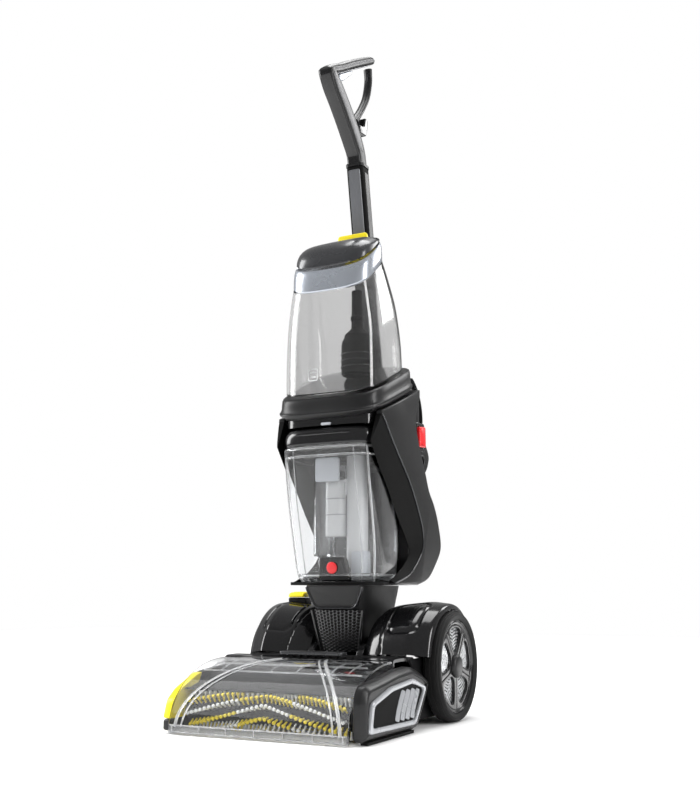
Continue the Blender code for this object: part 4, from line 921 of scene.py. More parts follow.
# A tapered column; its front carries staggered upright dimples, each a Gaussian pit.
def makeNeck():
    levels = [(0.031, 0.040, 0.106, neckLow[2], 0), (0.033, 0.024, 0.119, neckLow[2] + 0.018, 0),
              (0.040, 0.016, 0.137, 0.150, 0), (0.045, 0.008, 0.145, 0.180, 0),
              (0.048, 0.005, 0.147, neckHigh[2], 0)]
    rings = stacked(levels, 60, power=6.0, count=120)
    settle(surface("neckColumn", rings, skins["matte_black"]), "upright", "gloss_black", "neck")

    rows, columns = 150, 110
    z = np.linspace(neckLow[2] + 0.012, 0.160, rows)[:, None]
    rise = (z - z[0]) / (z[-1] - z[0])
    half = neckShape["half"] + neckShape["widening"] * rise
    u = np.linspace(-1, 1, columns)[None, :]
    x = half * u
    front = neckShape["front"] - neckShape["lean"] * rise
    y = front - neckShape["bow"] * (1 - u ** 2)
    across, along = neckShape["dimples"]
    cellU = (u + 1) / 2 * across
    cellV = rise * along + 0.5 * (np.floor(cellU) % 2)
    pit = np.exp(-(((cellU % 1) - 0.5) / 0.24) ** 2 - (((cellV % 1) - 0.5) / 0.20) ** 2)
    y = y + neckShape["dimple"] * pit
    face = np.stack([x + 0 * z, y, z + 0 * u], axis=-1)
    back = face.copy()
    back[..., 1] = front + 0.003
    grille = surface("neckGrille", np.concatenate([face, back[:, ::-1]], axis=1), skins["gloss_black"],
                     crease=80)
    settle(grille, "upright", "satin_dark")
    for side, word in ((-1, "Left"), (1, "Right")):
        line = np.column_stack([side * (half + 0.0018), front - 0.0005, z])
        settle(tube("neckEdge" + word, line, neckShape["edge"], skins["gloss_black"], 10), "upright",
               "gloss_black")


chinShape = {"half": 0.047, "lean": 0.0075, "curve": 0.0045, "bead": 0.0011}


# The rounded trapezoid under the dirty tank with a bright bead round its lower edge.
def makeChin():
    top, low = chinHigh[2], chinLow[2]
    half = chinShape["half"]
    outline = roundedOutline([(-half, top), (-0.0455, top - 0.008), (-0.033, low), (0.033, low),
                              (0.0455, top - 0.008), (half, top)], 0.009, 8)
    # The chin leans back towards its foot and curves back towards its sides.
    def bent(flat, lift):
        drop = (top - flat[:, 1]) / (top - low)
        y = chinLow[1] + 0.0015 + chinShape["lean"] * drop + chinShape["curve"] * (flat[:,
                0] / half) ** 2 - lift
        return np.column_stack([flat[:, 0], y, flat[:, 1]])
    rings = [bent(outline, -0.005), bent(outline, 0.0), bent(inset(outline, 0.0010), 0.0010),
             bent(inset(outline, 0.0026), 0.0012), bent(inset(outline, 0.0034), 0.0004),
             bent(inset(outline, 0.0060), 0.0006)]
    settle(surface("chinPanel", rings, skins["satin_dark"]), "upright", "gunmetal", "chin_panel")
    # the bead follows the outline's lower part
    lower = outline[outline[:, 1] < top - 0.002]
    lower = lower[np.argsort(np.arctan2(lower[:, 0], -(lower[:, 1] - top - 0.02)))]
    bead = bent(inset(lower, 0.0), 0.0010)
    settle(tube("chinBead", smoothLine(bead, 80), chinShape["bead"], skins["gunmetal"], 8, up=(0, 1, 0)),
           "upright", "gunmetal")


tankShape = {"wall": 0.0022, "hoop": 0.0012, "inward": 0.0006}
tankRing = {"power": 5.0, "count": 112, "bulge": 0.002}


# Half width, front, back, height and slope of the tank from foot to rim, all grown by one distance.
def tankLevels(grow=0.0):
    low, high, rear = tankLow[2], tankHigh[2], tankHigh[1]
    return [(0.064 + grow, 0.010 - grow, rear - 0.006 + grow, low, 0),
            (0.0705 + grow, 0.002 - grow, rear - 0.001 + grow, low + 0.010, 0),
            (0.0752 + grow, -0.0065 - grow, rear - 0.004 + grow, 0.258, 0),
            (0.0768 + grow, -0.023 - grow, rear - 0.010 + grow, 0.330, 0),
            (0.0769 + grow, tankLow[1] + 0.0005 - grow, rear - 0.016 + grow, high, 0)]


# The outer rings and the drawn-in inner rings make one clear wall; tubes follow its corners and hoops.
def makeDirtyTank():
    outer = stacked(tankLevels(), 44, **tankRing)
    inner = stacked(tankLevels(-tankShape["wall"]), 44, **tankRing)[::-1]
    inner[-1][:, 2] += 0.003
    shell = surface("dirtyTank", outer + inner, skins["clear"])
    settle(shell, "dirty_tank_body", "clear", "dirty_tank")
    # clear ribs down the front corners and a clear frame round the front face
    for side, word in ((-1, "Left"), (1, "Right")):
        for number, (share, width) in enumerate(((0.90, 0.0022), (0.66, 0.0013))):
            path = []
            for half, front, back, z in smoothLine(tankLevels(), 40)[2:-1, :4]:
                ring = bentRing(half, front, back, z, **tankRing)
                pick = ring[(ring[:, 1] < (front + back) / 2)]
                path.append(pick[np.argmin(np.abs(pick[:, 0] - side * share * half))])
            settle(tube("tankRib%s%d" % (word, number), path, width * 0.75, tankEdge, 10), "dirty_tank_body",
                   "clear")
    for number, z in enumerate((tankHigh[2] - 0.004, tankHigh[2] - 0.016, tankLow[2] + 0.010)):
        levels = smoothLine(tankLevels(), 60)
        half, front, back = levels[np.argmin(np.abs(levels[:, 3] - z))][:3]
        draw = tankShape["inward"]
        ring = bentRing(half - draw, front + draw, back - draw, z, **tankRing)
        angle = np.linspace(0, 2 * math.pi, 8, endpoint=False)
        centre = ring.mean(axis=0)
        out = (ring - centre) / np.linalg.norm(ring - centre, axis=1, keepdims=True)
        grid = ring[:, None] + tankShape["hoop"] * (out[:, None] * np.cos(angle)[None, :,
                None] + np.array([0, 0, 1.6]) * np.sin(angle)[None, :, None])
        settle(surface("tankHoop%d" % number, grid, tankEdge, ring=True), "dirty_tank_body", "clear")


# Separator: a dark head, an upright float tube, two clear baffles and a duct behind.
def makeDirtyInside():
    low, high = corner("separator")
    settle(plate("separatorHead", roundedBox((low[1], high[1]), (high[2] - 0.018, high[2]), 0.005),
                 (low[0] + 0.004, high[0] - 0.004), 0.002, skins["matte_black"]), "dirty_tank_body",
           "matte_black", "separator")
    pale = finish("paleClear", (0.90, 0.91, 0.92), (0.94, 0.945, 0.95), 0.12, 0.04, bump=0.02, clear=0.55)
    def cage(name, x, y, half, depth, z0, z1, skin, hole=True):
        outline = roundedBox((x - half, x + half), (y - depth, y + depth), half * 0.6, 6)
        z = [z0, z0 + 0.002, z1 - 0.002, z1]
        grow = [-0.0012, 0.0, 0.0, -0.0012]
        rings = [atZ(inset(outline, -g), h) for g, h in zip(grow, z)]
        inner = [atZ(inset(outline, 0.0016), h) for h in (z1, z0 + 0.003)]
        return settle(surface(name, rings + (inner if hole else []), skin), "dirty_tank_body", "white")
    cage("floatTube", -0.006, 0.022, 0.0150, 0.0120, 0.268, 0.352, pale)
    cage("floatTubeHead", -0.006, 0.022, 0.0125, 0.0100, 0.300, 0.368, skins["clear"])
    cage("inletDuct", 0.024, 0.034, 0.0150, 0.0130, 0.222, high[2] - 0.010, pale)
    cage("inletFoot", 0.030, 0.032, 0.0130, 0.0120, 0.212, 0.246, paleGrey)
    cage("baffleLeft", -0.040, 0.048, 0.015, 0.014, 0.240, high[2] - 0.010, skins["clear"])
    for number, z in enumerate((0.300, 0.324)):
        outline = roundedBox((-0.0220, 0.0100), (0.0090, 0.0350), 0.009, 6)
        rings = [atZ(inset(outline, d), z + h) for d, h in ((0.0, 0.0), (-0.0005, 0.0005), (-0.0005, 0.0013),
                                                            (0.0, 0.0018), (0.0030, 0.0018), (0.0030, 0.0))]
        settle(surface("floatRing%d" % number, rings, glintClear, ring=True), "dirty_tank_body", "white")
    cover = roundedBox((-0.030, 0.010), (0.350, 0.386), 0.004, 5)
    settle(plate("filterCover", cover, (-0.002, 0.004), 0.001, paleGrey, axis="Y"), "dirty_tank_body", "white")
    peg = tube("inletPeg", np.array([(0.030, 0.046, 0.372), (0.045, 0.044, 0.371), (0.060, 0.042, 0.370)]),
               0.0055, skins["matte_black"], 20)
    settle(peg, "dirty_tank_body", "matte_black")
    bar = roundedOutline([(0.046, 0.226), (0.054, 0.226), (0.050, 0.372), (0.042, 0.372)], 0.002, 5)
    settle(plate("ductBar", bar, (0.052, 0.060), 0.001, skins["matte_black"], axis="Y"), "dirty_tank_body",
           "matte_black")
    low, high = corner("tank_float")
    outline = roundedBox((low[0], high[0]), (low[1], high[1]), 0.006, 6)
    rings = [atZ(inset(outline, d), z) for d, z in ((0.003, low[2]), (0.0006, low[2] + 0.001),
                                                    (0.0, low[2] + 0.004), (0.0, high[2] - 0.004),
                                                    (0.0006, high[2] - 0.001), (0.003, high[2]))]
    settle(surface("floatBlock", rings, skins["white"]), "float_body", "red", "tank_float")


# A lid of superellipse rings that close in towards its top, and a lip that bows back as x squared.
def makeLid():
    half = lidHigh[0]
    low, high = lidLow[2], lidHigh[2]
    front, back = lidLow[1] + 0.002, lidHigh[1]
    levels = [(half, front + 0.001, back, low, 0), (half + 0.0002, front, back, low + 0.003, 0),
              (half, front, back - 0.001, low + 0.012, 0),
              (half - 0.002, front + 0.002, back - 0.003, low + 0.019, 0),
              (half - 0.006, front + 0.006, back - 0.010, high - 0.001, 0),
              (half - 0.012, front + 0.012, back - 0.016, high, 0)]
    settle(surface("dirtyLid", stacked(levels, 36, **tankRing), skins["gloss_black"]),
           "dirty_tank_body", "matte_black", "dirty_lid")
    # a pull lip across the lid's front
    x = np.linspace(-0.045, 0.045, 40)
    path = np.column_stack([x, front - 0.0005 + 0.006 * (x / 0.06) ** 2, np.full(40, low + 0.016)])
    settle(tube("lidPull", path, 0.0030, skins["gloss_black"], 12, (1.0, 0.8), up=(0, 1, 0)),
           "dirty_tank_body", "matte_black")


tankEdge = finish("tankEdgePlastic", (0.94, 0.95, 0.96), (0.97, 0.975, 0.98), 0.05, 0.02, bump=0.0, broad=8,
                  clear=0.90)
badge = {"half": 0.0235, "height": 0.034, "foot": 0.002, "dot": 0.0085, "dotHeight": 0.0180}


# A plain dark plate with a red dot on the tank's front, low down.
def makeBadge():
    base = tankLow[2] + badge["foot"]
    outline = roundedOutline([(-badge["half"] - 0.002, base), (badge["half"] + 0.004, base),
                              (badge["half"] - 0.002, base + badge["height"]),
                              (-badge["half"] + 0.001, base + badge["height"])], 0.005, 6)
    def bent(flat, lift):
        y = -0.0005 - 0.10 * (flat[:, 1] - base) + 0.004 * (flat[:, 0] / 0.02) ** 2 - lift
        return np.column_stack([flat[:, 0], y, flat[:, 1]])
    rings = [bent(outline, -0.003), bent(outline, 0.0010), bent(inset(outline, 0.0008), 0.0020),
             bent(inset(outline, 0.006), 0.0022)]
    settle(surface("badgePlate", rings, skins["matte_black"]), "dirty_tank_body", "matte_black")
    turn = np.linspace(0, 2 * math.pi, 40, endpoint=False)
    disc = np.column_stack([badge["dot"] * np.cos(turn),
                            base + badge["dotHeight"] + badge["dot"] * np.sin(turn)])
    rings = [bent(disc, 0.0018), bent(disc, 0.0027), bent(inset(disc, 0.0006), 0.0031),
             bent(inset(disc, 0.003), 0.0032)]
    settle(surface("badgeDot", rings, skins["red"]), "dirty_tank_body", "red")


channelInner = [(-0.033, 0.402), (-0.007, 0.370), (0.022, 0.340), (0.051, 0.306), (0.091, 0.262),
                (0.098, 0.243), (0.069, 0.220), (0.029, 0.203)]
channelOuter = [(-0.014, 0.4440), (-0.001, 0.434), (0.021, 0.411), (0.051, 0.383), (0.087, 0.349),
                (0.112, 0.317), (0.133, 0.281), (0.133, 0.253), (0.110, 0.229), (0.078, 0.211), (0.029, 0.1985)]
bodyRear = [(0.110, 0.1965), (0.150, 0.206), (0.179, 0.226), (0.205, 0.256), (0.196, 0.295), (0.180, 0.323),
            (0.160, 0.345), (0.146, 0.372), (0.120, 0.420), (0.110, 0.455), (0.127, 0.490)]


# A band between two edge lines with the same parameter, domed outwards by crown across its width.
def ribbon(name, first, second, x, skin, crown):
    share = np.linspace(0, 1, 15)
    across = np.concatenate([share, [1.0, 0.0]])
    side = np.sign(x[1])
    lip = 0.0015
    slope = side * lip + (x[1] - x[0] - side * lip) * share
    height = np.concatenate([x[0] + slope + side * crown * (1 - (2 * share - 1) ** 4) - side * crown,
                             [x[0], x[0]]])
    grid = []
    for a, b in zip(first, second):
        line = a + (b - a) * across[:, None]
        grid.append(np.column_stack([height, line]))
    return surface(name, grid, skin)


# Each side has a sloping band between two lines, a rounded plate behind it and a bead on the edge.
def makeFrames():
    inner = smoothLine(channelInner, 90)
    outer = smoothLine(channelOuter, 90)
    for side, word in ((-1, "left"), (1, "right")):
        near, far = side * channelLow[0], side * channelHigh[0]
        band = ribbon("channel" + word.title(), inner, outer, (near, far), deepBlack, 0.0008)
        settle(band, "upright", "gloss_black", "side_channel_" + word)
        far = frameHigh[0]
        outline = np.vstack([[(-0.0134, 0.4490)], outer + (0.0004, 0.0004), [(0.029, 0.1975)],
                             smoothLine(bodyRear, 70), [(0.1265, 0.504), (0.050, 0.4735)]])
        span = (min(near, side * far), max(near, side * far))
        piece = plate("sideFrame" + word.title(), outline, span, 0.0022, skins["satin_dark"], 5)
        settle(piece, "upright", "satin_dark", "side_frame_" + word)
        bead = atX(outer + (0.0010, 0.0006), side * (far - 0.0012))
        settle(tube("frameBead" + word.title(), bead, 0.0011, skins["gunmetal"], 8), "upright", "gunmetal")


# Slanted rings: a plain skirt, a shallow recess, a ledge and a rounded lip under the clean tank.
def makeCollar():
    half, front, back = collarHigh[0] - 0.001, collarLow[1] + 0.001, collarHigh[1]
    profile = [(-0.012, 0.4404, 0.40), (-0.0075, 0.4404, 0.40), (-0.0010, 0.4450, 0.40),
               (0.0002, 0.4470, 0.405), (0.0002, 0.4486, 0.41), (-0.0008, 0.4500, 0.41),
               (-0.0022, 0.4540, 0.42), (-0.0026, 0.4610, 0.43), (-0.0030, 0.4670, 0.44),
               (-0.0042, 0.4705, 0.447), (-0.0062, 0.4726, 0.45), (-0.0085, 0.4732, 0.45)]
    rings = [bentRing(half + grow, front - grow, back + min(grow, 0.0), z, slope, 4.8, 140, 0.0) for grow, z,
             slope in profile]
    settle(surface("collar", rings, skins["satin_dark"], crease=30), "upright", "satin_dark", "collar")
    seam = np.array([(half * 0.93, front + 0.0075, z + 0.4 * 0.0075) for z in np.linspace(0.443, 0.458, 8)])
    settle(tube("collarSeam", seam, 0.0006, skins["matte_black"], 6), "upright", "matte_black")
    # painted highlight: a pale grey bar in the recess under the collar's front stands for a thin bright
    # highlight line
    bar = roundedBox((-0.004, 0.012), (0.4305, 0.4345), 0.0015, 5)
    settle(plate("collarHighlightBar", bar, (front + 0.0070, front + 0.0105), 0.0006, paleGrey, axis="Y"), "upright",
           "silver_paint")
    # painted shade: a gloss black ring fills the dark recess between the collar and the lid; the pale bar
    # before it is a painted highlight
    ring = bentRing(0.074, front + 0.010, 0.078, 0.434, 0.0, 5.0, 96)
    rings = [ring + (0, 0, -0.0035), ring + (0, 0, 0.004)]
    rings[1][:, 2] = 0.4385 + 0.3 * (ring[:, 1] - front)
    settle(surface("collarGapShade", rings, skins["gloss_black"]), "upright", "gloss_black")


cleanShape = {"wall": 0.003, "slope": 0.45}
cleanRing = {"power": 3.6, "count": 128}


# Half width, front, back, height and slope of the clean tank from its seat to its band.
def cleanLevels(grow=0.0):
    front = cleanLow[1]
    return [(0.082 + grow, front - grow, 0.110 + grow, cleanLow[2], cleanShape["slope"]),
            (0.0815 + grow, front - 0.0005 - grow, 0.106 + grow, 0.515, 0.48),
            (0.079 + grow, front - 0.002 - grow + 0.0025, 0.092 + grow, 0.566, 0.55),
            (0.0735 + grow, front + 0.0008 - grow, 0.076 + grow, 0.603, 0.66),
            (0.067 + grow, -0.033 - grow, 0.060 + grow, 0.637, 0.80)]


# A two-skinned wall, a slanted band, a cap whose rings rise from a low to a high slope, and a latch.
def makeCleanTank():
    wall = cleanShape["wall"]
    outer = stacked(cleanLevels(), 48, **cleanRing)
    inner = stacked(cleanLevels(-wall), 48, **cleanRing)[::-1]
    inner[-1] = inner[-1] + (0, 0, wall)
    settle(surface("cleanTank", outer + inner, skins["smoke"]), "clean_tank_body", "smoke", "clean_tank")

    # the band: a slanted ring with a groove under its top edge
    half, front, back = 0.067, -0.033, 0.060
    profile = [(-0.004, 0.6378), (0.0, 0.6378), (0.0010, 0.6395), (0.0009, 0.650), (0.0002, 0.662),
               (-0.0012, 0.669), (-0.0026, 0.6728), (-0.006, 0.6735)]
    rings = [bentRing(half + g, front - g, back + g, z, 0.80, 3.2, 128) for g, z in profile]
    settle(surface("tankBand", rings, skins["silver_paint"], crease=30), "clean_tank_body", "silver_paint",
           "tank_band")

    low, high = corner("tank_cap")
    base = 0.6742
    shares = np.array([0.0, 0.05, 0.20, 0.38, 0.55, 0.70, 0.82, 0.90, 0.96, 0.99, 1.0])
    draws = np.array([0.0040, 0.0030, 0.0032, 0.0045, 0.0070, 0.0110, 0.0160, 0.0215, 0.028, 0.034, 0.042])
    frontTop = base + 0.0385
    rings = []
    for share, draw in zip(shares, draws):
        ring = bentRing(half - draw, front + draw * 0.85, back - draw * 0.55, 0, 0, 3.2, 128)
        rise = ring[:, 1] - front
        dish = 0.0035 * np.exp(-((ring[:, 0] + 0.030) / 0.020) ** 2 - ((ring[:, 1] - 0.035) / 0.030) ** 2)
        lowZ, topZ = base + 0.80 * rise, frontTop + 0.42 * rise - 0.9 * np.clip(rise - 0.060, 0, 1)
        ring[:, 2] = np.maximum(lowZ + 0.0002, lowZ + (topZ - lowZ) * share - dish * share)
        rings.append(ring)
    settle(surface("tankCap", rings, skins["gunmetal"], crease=50), "clean_tank_body", "gunmetal", "tank_cap")

    low, high = corner("tank_latch")
    outline = roundedOutline([(low[0], low[2]), (high[0], low[2]), (high[0] - 0.004, high[2] - 0.0002),
                              (low[0] + 0.004, high[2] - 0.0002)], 0.005, 6)
    settle(plate("tankLatch", outline, (low[1], high[1]), 0.0018, skins["yellow"], axis="Y"),
           "tank_latch_body", "yellow", "tank_latch")

    # the level mark: a thin rounded square and two bars, printed white
    mark = roundedBox((0, 0.0160), (0, 0.0185), 0.003, 6)
    hole = inset(mark, 0.0010)
    def onFront(flat, lift):
        x = flat[:, 0] - 0.0240
        y = cleanLow[1] - 0.0002 - lift + 0.0045 * (np.abs(x) / 0.06) ** 3
        return np.column_stack([x, y, 0.4985 + flat[:, 1]])
    rings = [onFront(mark, 0.0), onFront(mark, 0.0003), onFront(hole, 0.0003), onFront(hole, 0.0)]
    settle(surface("levelMark", rings, skins["white"], ring=True), "clean_tank_body", "white")
    for number, z in enumerate((0.0050, 0.0120)):
        bar = roundedBox((0.0035, 0.0125), (z, z + 0.0018), 0.0008, 4)
        rings = [onFront(bar, 0.0), onFront(bar, 0.0003)]
        settle(surface("levelBar%d" % number, rings, skins["white"]), "clean_tank_body", "white")


# The dark filler column inside the clean tank, turned from a stepped profile.
def makeBottle():
    profile = [(0.0001, 0.518), (0.0225, 0.518), (0.0250, 0.521), (0.0250, 0.566), (0.0238, 0.573),
               (0.0205, 0.578), (0.0200, 0.583), (0.0130, 0.590), (0.0095, 0.594), (0.0090, 0.606),
               (0.0105, 0.608), (0.0105, 0.613), (0.0088, 0.615), (0.0085, 0.655), (0.0001, 0.655)]
    settle(turned("fillerColumn", profile, (0.018, 0.046, 0.0), deepBlack, 48, "Z"), "clean_tank_body",
           "matte_black")
    for number, z in enumerate((0.530, 0.540, 0.550)):
        ring = [(0.0252, z), (0.0262, z + 0.0008), (0.0262, z + 0.0018), (0.0252, z + 0.0026)]
        settle(turned("fillerRing%d" % number, ring, (0.018, 0.046, 0.0), skins["gloss_black"], 48, "Z", True),
               "clean_tank_body", "gloss_black")


makeNeck()
makeChin()
makeDirtyTank()
makeDirtyInside()
makeLid()
makeBadge()
makeFrames()
makeCollar()
makeCleanTank()
makeBottle()
print("upright body and tanks are made")


armLow, armHigh = corner("handle_arm")
gripHigh = corner("handle_grip")[1]
socketLow, socketHigh = corner("post_socket")
postHalf = postHigh[0]
postShape = {"lean": -0.172, "depth": 0.028, "corner": 0.006, "edge": 0.0015, "faceHalf": 0.0105,
             "faceFoot": 0.690, "inlayFoot": 0.700}


# The front face of the post at a height: a straight lean backwards towards the foot.
def postFront(z):
    return postLow[1] + postShape["lean"] * (z - postHigh[2])


# Rounded box section, a grey front strip with bevelled rims, and a slim inlay at each side.
def makePost():
    edge = postShape["edge"]
    section = roundedBox((-postHalf, postHalf), (0, postShape["depth"]), postShape["corner"], 7)

    # the section at each height, drawn in and moved to the leaning front
    def leaning(steps):
        lines = [(height, inset(section, d)) for height, d in steps]
        return [atZ(line + (0, postFront(height)), height) for height, line in lines]

    rings = leaning(((postLow[2], edge), (postLow[2] + edge, 0), (postHigh[2] - edge, 0), (postHigh[2], edge)))
    settle(surface("post", rings, deepBlack), "upright", "gunmetal", "post")
    outline = roundedBox((-postShape["faceHalf"], postShape["faceHalf"]),
                         (postShape["faceFoot"], postHigh[2] - 0.006), 0.003, 6)
    rings = []
    for d, lift in ((0, -0.002), (0, 0.0004), (0.0006, 0.0011), (0.0020, 0.0012)):
        line = inset(outline, d)
        rings.append(np.column_stack([line[:, 0], postFront(line[:, 1]) - lift, line[:, 1]]))
    settle(surface("postFace", rings, paintGrey), "upright", "gunmetal")
    for side, word in ((-1, "Left"), (1, "Right")):
        outline = roundedBox((0.007, 0.021), (postShape["inlayFoot"], postHigh[2] - 0.010), 0.003, 6)
        rings = []
        for d, lift in ((0, -0.002), (0, 0.0003), (0.0005, 0.0008), (0.0018, 0.0009)):
            line = inset(outline, d)
            rings.append(np.column_stack([np.full(len(line), side * (postHalf + lift)),
                                          postFront(line[:, 1]) + line[:, 0], line[:, 1]]))
        settle(surface("postInlay" + word, rings, skins["satin_dark"]), "upright", "gunmetal")
    # a seam collar where the arm is screwed on
    rings = leaning(((postHigh[2] - 0.0005, 0.001), (postHigh[2] - 0.0003, -0.0010),
                     (armLow[2] + 0.004, -0.0010), (armLow[2] + 0.0055, 0.0002)))
    settle(surface("postSeam", rings, skins["satin_dark"]), "upright", "gunmetal")


armLine = [(0.0820, 0.8815), (0.0762, 0.9040), (0.0600, 0.9255), (0.0410, 0.9460), (0.0160, 0.9690),
           (-0.0070, 0.9880), (-0.0220, 1.0020), (-0.0270, 1.0090)]
armDepth = [0.0145, 0.0150, 0.0170, 0.0175, 0.0165, 0.0155, 0.0110, 0.0070]


# A rounded bar swept along a bent line; its side section narrows towards the grip.
def makeArm():
    line = smoothLine(armLine, 70)
    depth = smoothLine(np.array(armDepth)[:, None], 70)[:, 0]
    normal = normalsOf(line)
    angle = np.linspace(0, 2 * math.pi, 40, endpoint=False)
    across = armHigh[0] * np.sign(np.cos(angle)) * np.abs(np.cos(angle)) ** (2 / 4.5)
    deep = np.sign(np.sin(angle)) * np.abs(np.sin(angle)) ** (2 / 4.5)
    rings = []
    for point, side, half in zip(line, normal, depth):
        flat = point + side * (deep * half)[:, None]
        rings.append(np.column_stack([across, flat]))
    rings[0][:, 2] = armLow[2] + 0.0002
    settle(surface("handleArm", rings, skins["satin_dark"], crease=50), "upright", "gunmetal", "handle_arm")
    # the gloss strip on the arm's front and the raised grey inlay on each side
    front = line + normal * depth[:, None]
    rings = []
    for point, side in zip(front[3:-4], normal[3:-4]):
        x = np.array([-0.0098, -0.0092, -0.0075, 0.0075, 0.0092, 0.0098, 0.0098, -0.0098])
        lift = np.array([0.0, 0.0007, 0.0011, 0.0011, 0.0007, 0.0, -0.0030, -0.0030])
        rings.append(np.column_stack([x, point + side * lift[:, None]]))
    settle(surface("armFace", rings, skins["gloss_black"]), "upright", "gunmetal")
    for side, word in ((-1, "Left"), (1, "Right")):
        rings = []
        for share, point, across, half in zip(np.linspace(0, 1, 52), line[10:62], normal[10:62], depth[10:62]):
            reach = half * 0.56 * (1 - abs(2 * share - 1) ** 6)
            u = np.linspace(-1, 1, 9)
            x = side * (armHigh[0] - 0.0006 + 0.0014 * (1 - u ** 4))
            ridge = np.column_stack([x, point + across * (u * reach)[:, None]])
            foot = np.array([[side * (armHigh[0] - 0.003), *(point + across * reach)],
                             [side * (armHigh[0] - 0.003), *(point - across * reach)]])
            rings.append(np.vstack([ridge, foot]))
        settle(surface("armInlay" + word, rings, handleGrey), "upright", "gunmetal")


gripLine = [(-0.0310, 1.0020), (-0.0150, 1.0120), (0.0100, 1.0262), (0.0450, 1.0482), (0.0850, 1.0722),
            (0.1180, 1.0910), (0.1265, 1.0930)]
gripHalf = [0.0066, 0.0082, 0.0080, 0.0082, 0.0080, 0.0072, 0.0050]
gripShape = {"power": 3.0, "taper": 0.10, "ribs": 300, "rib": 0.00045, "pitch": 6, "seam": 0.0105}


# A soft grip swept along its line, with a ribbed strip let into its underside.
def makeGrip():
    line = smoothLine(gripLine, 90)
    half = smoothLine(np.array(gripHalf)[:, None], 90)[:, 0]
    angle = np.linspace(0, 2 * math.pi, 44, endpoint=False)
    normal = normalsOf(line)
    wide = gripHigh[0] * (1 - gripShape["taper"] * np.abs(np.linspace(-1, 1, 90)) ** 6)
    rings = []
    for point, side, deep, broad in zip(line, normal, half, wide):
        across = broad * np.sign(np.cos(angle)) * np.abs(np.cos(angle)) ** (2 / gripShape["power"])
        curve = np.sign(np.sin(angle)) * np.abs(np.sin(angle)) ** (2 / gripShape["power"])
        flat = point + side * (deep * curve)[:, None]
        rings.append(np.column_stack([across, flat]))
    settle(surface("handleGrip", rings, skins["satin_dark"], crease=60), "upright", "gloss_black",
           "handle_grip")
    ribs = gripShape["ribs"]
    line = smoothLine(gripLine, ribs)[50:-50]
    half = smoothLine(np.array(gripHalf)[:, None], ribs)[50:-50, 0]
    normal = normalsOf(line)
    wave = 0.0003 + gripShape["rib"] * np.sin(np.arange(len(line)) * 2 * math.pi / gripShape["pitch"])
    rings = []
    for point, side, deep, high in zip(line, normal, half, wave):
        x = np.array([-0.0062, -0.0050, 0.0050, 0.0062, 0.0062, -0.0062])
        reach = -deep - np.array([0.0, high, high, 0.0, -0.003, -0.003])
        rings.append(np.column_stack([x, point + side * reach[:, None]]))
    settle(surface("gripRibs", rings, paintGrey, crease=60), "upright", "gloss_black")
    for number, reach in enumerate((-gripShape["seam"], gripShape["seam"])):
        seam = atX(smoothLine(gripLine, 60), reach)
        settle(tube("gripSeam%d" % number, seam[6:-4], 0.0022, handleGrey, 8), "upright", "gloss_black")


strutShape = {"radius": 0.0055, "squeeze": (1.35, 0.90), "face": 0.0042, "faceSqueeze": (1.25, 0.90)}


# The hand loop's rear bar, flattened, with its root flaring into the arm.
def makeStrut():
    path = smoothLine([(0, 0.1225, 1.0780), (0, 0.1240, 1.055), (0, 0.1150, 1.022), (0, 0.097, 0.993),
                       (0, 0.0780, 0.9700), (0, 0.0650, 0.9560)], 60)
    radius = strutShape["radius"] * np.interp(np.linspace(0, 1, 60), [0, 0.1, 0.7, 1.0], [1.05, 1.0, 1.0, 1.35])
    settle(tube("handleStrut", path, radius, skins["satin_dark"], 28, strutShape["squeeze"]), "upright",
           "gunmetal", "handle_strut")
    face = path[4:-8] + (0, -0.0012, 0.0)
    settle(tube("strutFace", face, strutShape["face"], paintGrey, 16, strutShape["faceSqueeze"]), "upright",
           "gunmetal")


# A rounded outline through the thickness of the trigger.
def makeTrigger():
    outline = roundedOutline([(0.003, 1.0115), (0.050, 1.0408), (0.0475, 1.0320), (0.0340, 1.0205),
                              (0.0200, 1.0085), (0.0075, 1.0005)], 0.004, 7)
    settle(plate("handleTrigger", outline, (-0.0075, 0.0075), 0.0022, skins["silver_paint"], 6),
           "trigger_body", "silver_paint", "handle_trigger")


# A rounded hook outline through its width, and a turned boss.
def makeCordHook():
    outline = roundedOutline([(0.0745, 0.9395), (0.0985, 0.9420), (0.1035, 0.9560), (0.1045, 0.9730),
                              (0.0960, 0.9760), (0.0925, 0.9660), (0.0900, 0.9565), (0.0745, 0.9540)], 0.004, 7)
    settle(plate("cordHook", outline, (-0.009, 0.009), 0.0024, skins["gloss_black"], 6), "cord_hook_body",
           "matte_black", "cord_hook")
    profile = [(0.0001, 0.0715), (0.0088, 0.0715), (0.0098, 0.0722), (0.0098, 0.0750), (0.0088, 0.0762),
               (0.0001, 0.0762)]
    settle(turned("cordHookBoss", profile, (0, 0, 0.9468), skins["satin_dark"], 40, "Y"), "cord_hook_body",
           "matte_black")


